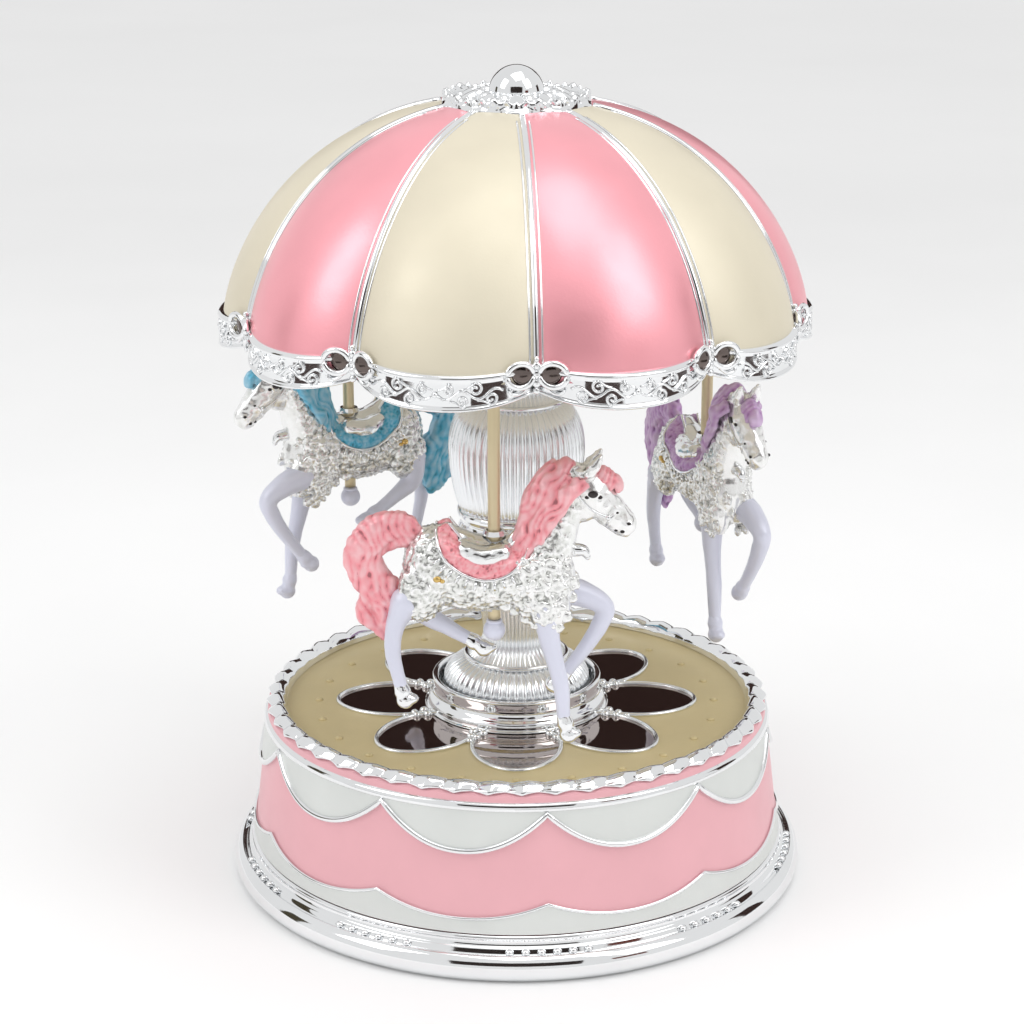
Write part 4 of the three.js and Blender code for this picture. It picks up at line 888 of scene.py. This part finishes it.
def lock(shape, points, width, wave, phase=0.0):
    """One lock of hair: a wavy tapered tube through points of (x, y, z)."""
    line = smooth_line(points, 6)
    count = len(line) - 1
    path = []
    for i, p in enumerate(line):
        sway = wave * math.sin(TURN * 1.6 * i / count + phase)
        path.append((p[0] + sway * 0.8, p[1] + 0.3 * sway, p[2] + sway * 0.6))
    shape.tube(path, lambda t: width * (0.3 + 0.7 * math.sin(math.pi * (0.15 + 0.75 * t))), 8)


def rose(shape, centre, side, size):
    x, y, z = centre
    shape.ball((x, y, z), (size * 0.55, size * 0.5, size * 0.55), 10, 8)
    for ring, lift in ((0.62, 0.28), (1.0, 0.0)):
        for k in range(5):
            a = TURN * (k + ring) / 5
            petal = (x + size * ring * math.cos(a), y + side * (lift - 0.3) * size,
                     z + size * ring * math.sin(a))
            shape.ball(petal, (size * 0.46, size * 0.36, size * 0.46), 10, 8)


def mane(hair):
    crest = [(5.4, -2, 1.6), (6.5, 1.6, 1.9), (7.7, 5, 2.2), (9.1, 8.6, 2.4), (11, 12, 2.4),
             (13.4, 14, 2.1)]
    limb(hair, [(x, 0, z, r) for x, z, r in crest], 6, 16)
    for side in (-1, 1):
        for k in range(8):
            across = -2.3 + 0.9 * k
            out = 1.2 + 0.75 * k ** 0.75
            points = []
            for x, z, _ in crest[k > 5:]:
                shift = across if across < 0 else across * (0.4 + 0.045 * (z + 2))
                beside = side * out * (0.8 if x > 12 else 1)
                points.append((x + shift * 0.87, beside, z - shift * 0.5))
            lock(hair, points[::-1], 0.85, 0.5, k * 1.3)
        rose(hair, (13.4, side * 5, 10.2), side, 1.35)
        rose(hair, (8.8, side * 5, 2.8), side, 0.9)
        lock(hair, [(19, side * 0.4, 13.6), (20.8, side * 0.7, 13), (22.4, side * 0.8, 11.6),
                    (23.2, side * 0.8, 9.6)], 0.85, 0.3)
        lock(hair, [(19, side * 1, 13), (20.8, side * 1.3, 12), (22, side * 1.2, 10.2)],
             0.7, 0.3, 1)
    lock(hair, [(18.8, 0, 13.8), (21, 0, 13.4), (22.8, 0, 11.8), (23.6, 0, 9.6)], 0.9, 0.2)


def tail(hair):
    flow = [(-15, 0, 1.4, 1.8), (-18, 0, 2.4, 2.3), (-21.8, 0, 1.4, 3.1), (-24.3, 0, -2.8, 3.2),
            (-22.9, 0, -7.8, 3.2), (-20.6, 0, -11.4, 3.4), (-20.6, 0, -15.4, 2.8),
            (-19.8, 0, -19.4, 1.2)]
    limb(hair, flow, 6, 18, flat=0.55)
    limb(hair, [(-15.8, 0, 0.4, 2), (-18.6, 0, 0.4, 2), (-21, 0, -0.8, 2)], flat=0.7)
    limb(hair, [(-16.6, 0, -8.6, 1.5), (-17.4, 0, -11, 2.2), (-18.8, 0, -13.4, 2.4)], flat=0.7)
    for side in (-1, 1):
        for k in range(7):
            across = -0.9 + 0.3 * k
            points = []
            for i, (x, _, z, r) in enumerate(flow):
                after = flow[min(i + 1, len(flow) - 1)]
                before = flow[max(i - 1, 0)]
                run = Vector((after[0] - before[0], 0, after[2] - before[2])).normalized()
                depth = 0.6 * r * math.sqrt(max(0.1, 1 - across * across))
                points.append((x + run.z * r * across, side * depth, z - run.x * r * across))
            lock(hair, points, 0.8, 0.55, 1.1 * k)
        rose(hair, (-26.2, side * 1.6, -4.6), side, 1.1)
        rose(hair, (-22.8, side * 2.2, 1.4), side, 0.9)
        rose(hair, (-19.6, side * 2.4, -12), side, 1.0)
        lock(hair, [(-23.6, side * 0.8, -9.8), (-24.8, side * 0.8, -13.4), (-23.2, side * 0.7, -16.6),
                    (-20.8, side * 0.4, -19.4)], 1.4, 0.3)


def hair_mesh():
    """Mane, forelock and tail, combed into fine wavy ridges along their flow."""
    hair = Shape()
    mane(hair)
    tail(hair)
    mesh = remeshed(hair, "hair", 0.32, 0)

    def strands(p):
        across = 0.87 * p.x - 0.5 * p.z if p.x > 0 else p.x * 0.95 + 0.2 * p.z
        along = p.z + 0.3 * p.y
        sway = 1.2 * math.sin(along / 1.8) + 4 * noise.noise(p / 4)
        ridge = abs(math.sin(across / 0.5 + sway))
        pit = min(1.0, noise.voronoi(p / 3.2)[0][0] / 0.3)
        return 0.22 * ridge + 0.26 * pit - 0.34 + 0.2 * noise.noise(p / 1.4)

    return displaced(mesh, strands, 0.6)


# The blanket's crescent: middle line and half-width, from the cantle to the withers.
BLANKET = [(-9.6, 3.4, 1.2), (-8.6, 1, 1.8), (-7, -1.4, 2.1), (-4.5, -3.2, 2.1), (-1.4, -4, 2.1),
           (1.6, -3.6, 1.9), (4, -2, 1.6), (5.6, 0.2, 1.1)]


def blanket_edge(line, reach):
    """Points at reach half-widths outside the crescent's middle line."""
    edge = []
    for i, (x, z, half) in enumerate(line):
        after = line[min(i + 1, len(line) - 1)]
        before = line[max(i - 1, 0)]
        run = Vector((after[0] - before[0], 0, after[1] - before[1])).normalized()
        edge.append((x + run.z * half * reach, z - run.x * half * reach))
    return edge


def saddle_mesh(half_width):
    """The woven blanket on both flanks."""
    cloth = Shape()
    line = smooth_line(BLANKET, 5)
    for side in (-1, 1):
        rows = []
        for reach, lift in ((1, 0), (0.9, 0.5), (0.45, 0.8), (0, 0.9), (-0.45, 0.8), (-0.9, 0.5),
                            (-1, 0), (0, -0.9)):
            rows.append([(x, side * (max(1.5, half_width(x, z)) + lift), z)
                         for x, z in blanket_edge(line, reach)])
        cloth.skin([list(row) for row in zip(*rows)], cap=True)
    mesh = remeshed(cloth, "saddle", 0.3, 2)

    def weave(p):
        return 0.16 * noise.noise(p / 0.45) + 0.12 * noise.noise(p / 1.2)

    return displaced(mesh, weave, 0.4)


def seat_mesh():
    """The plated saddle between the blanket's horns."""
    seat = Shape()
    limb(seat, [(-8.8, 0, 1.8, 1.6), (-7, 0, 0.2, 2.3), (-3.8, 0, -1.6, 2.7), (0.4, 0, -2, 2.6),
                (3.2, 0, -0.8, 2), (4.4, 0, 0.8, 1.4)])
    for side in (-1, 1):
        limb(seat, [(-5.6, side * 2.8, -1.2, 1.7), (-2, side * 3.6, -2.2, 2.1),
                    (1.6, side * 3, -1.6, 1.8)])
    mesh = remeshed(seat, "seat", 0.34, 3)
    return displaced(mesh, lambda p: 0.1 + 0.12 * noise.noise(p / 1.1), 0.6)


def trim_mesh(half_width):
    """Edging and fringe of the blanket, bridle, breast tab."""
    trim = Shape()
    line = smooth_line(BLANKET, 5)

    def laid(points, side, lift):
        return [(x, side * (max(1.5, half_width(x, z)) + lift), z) for x, z in points]

    for side in (-1, 1):
        for reach in (1.06, -1.06):
            trim.tube(laid(blanket_edge(line, reach), side, 0.3), 0.32, 8)
        inner, outer = blanket_edge(line, 1.35), blanket_edge(line, 2.1)
        for i in range(8, len(line) - 6, 2):
            trim.tube(laid([inner[i], outer[i]], side, 0.25), 0.3, 6)
        bridle = [(14.6, 11.6), (16.2, 8.8), (18.6, 6.4), (21.2, 5.2)]
        trim.tube(laid(smooth_line(bridle, 4), side, 0.1), 0.26, 6)
        trim.tube(laid([(20.9, 3.4), (21.6, 4.6), (22.4, 5.8)], side, 0.1), 0.26, 6)
        x, z = 21.3, 5.2
        trim.ball((x, side * (half_width(x, z) + 0.1), z), 0.55, 10, 8)
    limb(trim, [(15, 0, -2, 1.3), (16.8, 0, -2.2, 1.1), (17.6, 0, -3.4, 0.6)], 4, 10)
    return trim


# Beads laid on both sides of the coat, as (x, z, size): the eyes with their dark corners, the
# nostrils and mouth corners, and the two stones on the rump.
EYES = [(18.4, 9.9, 0.95), (19.7, 9.2, 0.5), (17.3, 9.2, 0.45), (25.2, 3.8, 0.42),
        (24, 2.2, 0.45), (22.8, 2.4, 0.35), (23, 6, 0.3)]
STONES = [(-10.6, -6, 0.8), (-9.6, -6.4, 0.5)]


def beads_mesh(half_width, beads, thick, oval):
    made = Shape()
    for side in (-1, 1):
        for x, z, size in beads:
            made.ball((x, side * half_width(x, z), z), (size, thick, size * oval), 12, 8)
    return made


def rider(name, degrees, meshes, half_width):
    """One horse in its own colours, turned and set on its pole."""
    tint = tint_material(name)
    hoof = CHROME if name == "pink" else LEG_LILAC
    looks = {"coat": COAT_SILVER, "barding": COAT_SILVER, "legs": LEG_LILAC, "hooves": hoof,
             "hair": tint, "saddle": tint, "seat": SOFT_CHROME}
    pieces = {part: linked(f"horse_{name}_{part}", mesh.copy()) for part, mesh in meshes.items()}
    for part, piece in pieces.items():
        piece.data.materials.clear()
        piece.data.materials.append(looks[part])
    shapes = {
        "trim": (trim_mesh(half_width), CHROME),
        "eyes": (beads_mesh(half_width, EYES, 0.25, 0.75), EYE_BLACK),
        "gem": (beads_mesh(half_width, STONES, 0.5, 0.8), BRASS),
    }
    for part, (shape, material) in shapes.items():
        pieces[part] = shape.object(f"horse_{name}_{part}", [material])
    seat = Matrix.Translation(SEAT[name] * MM) @ Matrix.Rotation(math.radians(degrees), 4, "Z")
    for part, piece in pieces.items():
        piece.data.transform(seat)
        nodes = [f"horse_{name}"] if part == "coat" else []
        place(piece, f"rider_{name}", "horse", *nodes)


def pole_and_ball(name):
    low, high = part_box(f"pole_{name}")
    x, y, seat = SEAT[name]
    steps = 40
    line = [(x, y, low.z / MM + (high.z - low.z) / MM * i / steps) for i in range(steps + 1)]
    pole = Shape()
    pole.tube(line, 1.18, 24)
    place(pole.object(f"pole_{name}_gold", [POLE_GOLD]), f"lift_{name}", "pole", f"pole_{name}")
    bead = Shape()
    bead.ball((x, y, seat - BALL_DROP), 2.1, 32, 20)
    bead.loop([(x + 1.2 * math.cos(TURN * k / 24), y + 1.2 * math.sin(TURN * k / 24),
                seat - BALL_DROP + 1.8) for k in range(24)], 0.35)
    place(bead.object(f"pole_bead_{name}", [LEG_LILAC]), f"lift_{name}", "horse",
          f"pole_ball_{name}")


def horses():
    coat = coat_mesh()
    half_width = side_finder(coat)
    meshes = {
        "coat": coat,
        "barding": barding_mesh(half_width),
        "legs": legs_mesh(),
        "hooves": hooves_mesh(),
        "hair": hair_mesh(),
        "saddle": saddle_mesh(half_width),
        "seat": seat_mesh(),
    }
    for name, degrees in HORSE_TURN.items():
        rider(name, degrees, meshes, half_width)
        pole_and_ball(name)


# ---- carried-over CAD pieces ----
def cad_materials():
    looks = {
        BLACK_PLASTIC: ["bottom_cover", "governor_frame", "air_brake"],
        ZINC: ["bedplate", "barrel_bridge", "cylinder_bracket_inner", "cylinder_bracket_outer"],
        BRASS: ["winding_key", "spring_barrel", "crown_wheel", "pinned_cylinder"]
        + [f"follower_arm_{name}" for name in HORSE_TURN],
        NYLON: ["cam_disc", "cylinder_pinion", "cylinder_wheel", "governor_pinion", "worm_wheel"],
        CEILING_CREAM: ["canopy_ceiling"],
        CHROME: [f"saddle_collar_{name}" for name in HORSE_TURN],
        STEEL: ["comb", "clutch_spring", "winding_arbor", "mainspring", "drive_rod",
                "cylinder_arbor", "governor_arbor", "governor_worm", "comb_screw_1",
                "comb_screw_2"]
        + [f"{kind}_screw_{i}" for kind in ("cover", "movement") for i in (1, 2, 3)],
    }
    for material, names in looks.items():
        for name in names:
            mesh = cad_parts[name].data
            for slot in range(len(mesh.materials)):
                mesh.materials[slot] = material


# ---- studio ----
FLOOR_DROP = 0.0002  # metres, keeps the floor clear of the foot
SKY_STRENGTH = 0.84


def aim(made, centre, target, facing):
    """Set an object at centre with its facing axis towards target, in millimetres."""
    made.location = Vector(centre) * MM
    made.rotation_euler = (Vector(target) - Vector(centre)).to_track_quat(facing, "Y").to_euler()


def card(name, size, centre, target, colour):
    """A flat dark card that shows only in reflections."""
    panel = Shape()
    w, h = size[0] / 2, size[1] / 2
    panel.add([(-w, -h, 0), (w, -h, 0), (w, h, 0), (-w, h, 0)], [(0, 1, 2, 3)])
    look, _, shader = node_tree(name)
    shader.inputs["Base Color"].default_value = (*colour, 1)
    shader.inputs["Roughness"].default_value = 0.9
    made = panel.object(name, [look], smooth=False)
    aim(made, centre, target, "Z")
    made.visible_camera = False
    made.visible_diffuse = False
    made.visible_shadow = False


def softbox(name, size, centre, target, power):
    light = bpy.data.lights.new(name, "AREA")
    light.shape = "RECTANGLE"
    light.size, light.size_y = size[0] * MM, size[1] * MM
    light.energy = power
    aim(linked(name, light), centre, target, "-Z")


def studio():
    floor = Shape()
    reach = 3000
    floor.add([(-reach, -reach, 0), (reach, -reach, 0), (reach, reach, 0), (-reach, reach, 0)],
              [(0, 1, 2, 3)])
    pale = finish("floor_pale", shade(0.93, 0.93, 0.93, 0.01), 0, (0.6, 0.7), 40, 0.01, 5)
    ground = floor.object("floor", [pale])
    ground.location.z = -FLOOR_DROP

    world = bpy.data.worlds.new("studio")
    bpy.context.scene.world = world
    world.use_nodes = True
    background = world.node_tree.nodes["Background"]
    background.inputs["Color"].default_value = (1, 1, 1, 1)
    background.inputs["Strength"].default_value = SKY_STRENGTH

    middle = (0, 0, 95)
    softbox("key_right", (360, 460), (520, -330, 640), middle, 1.2)
    softbox("key_left", (300, 460), (-560, -260, 600), middle, 1.0)
    softbox("top", (420, 420), (60, -120, 760), middle, 0.9)
    brown = (0.028, 0.01, 0.007)
    card("floor_dark_front", (260, 190), (125, -470, 1), (125, -470, 500), brown)
    card("floor_dark_left", (150, 240), (-440, -250, 1), (-440, -250, 500), brown)
    card("floor_dark_right", (150, 260), (440, -80, 1), (440, -80, 500), brown)
    card("dark_front", (860, 420), (0, -900, 480), (0, 0, 160), (0.02, 0.012, 0.01))
    card("dark_smudge", (200, 130), (560, -600, 300), (0, 0, 130), (0.12, 0.03, 0.02))
    card("dark_right", (200, 420), (860, 160, 240), middle, brown)
    card("dark_left", (160, 400), (-860, 60, 200), middle, (0.05, 0.04, 0.02))
    card("dark_back", (760, 360), (0, 900, 270), middle, brown)


def camera():
    looks_down = 17.735  # degrees
    lens = bpy.data.cameras.new("camera")
    lens.sensor_width = 36
    lens.lens = 87.53
    lens.shift_x = -0.0044
    lens.clip_start = 0.01
    eye = linked("camera", lens)
    eye.location = (0, -0.4874, 0.2321)
    eye.rotation_euler = (math.radians(90 - looks_down), 0, 0)
    bpy.context.scene.camera = eye


camera()
studio()
canopy()
valance()
crown()
column()
deck()
bezel()
drum()
skirt()
horses()
cad_materials()
bpy.context.scene.view_settings.view_transform = "Standard"

bpy.context.view_layer.update()
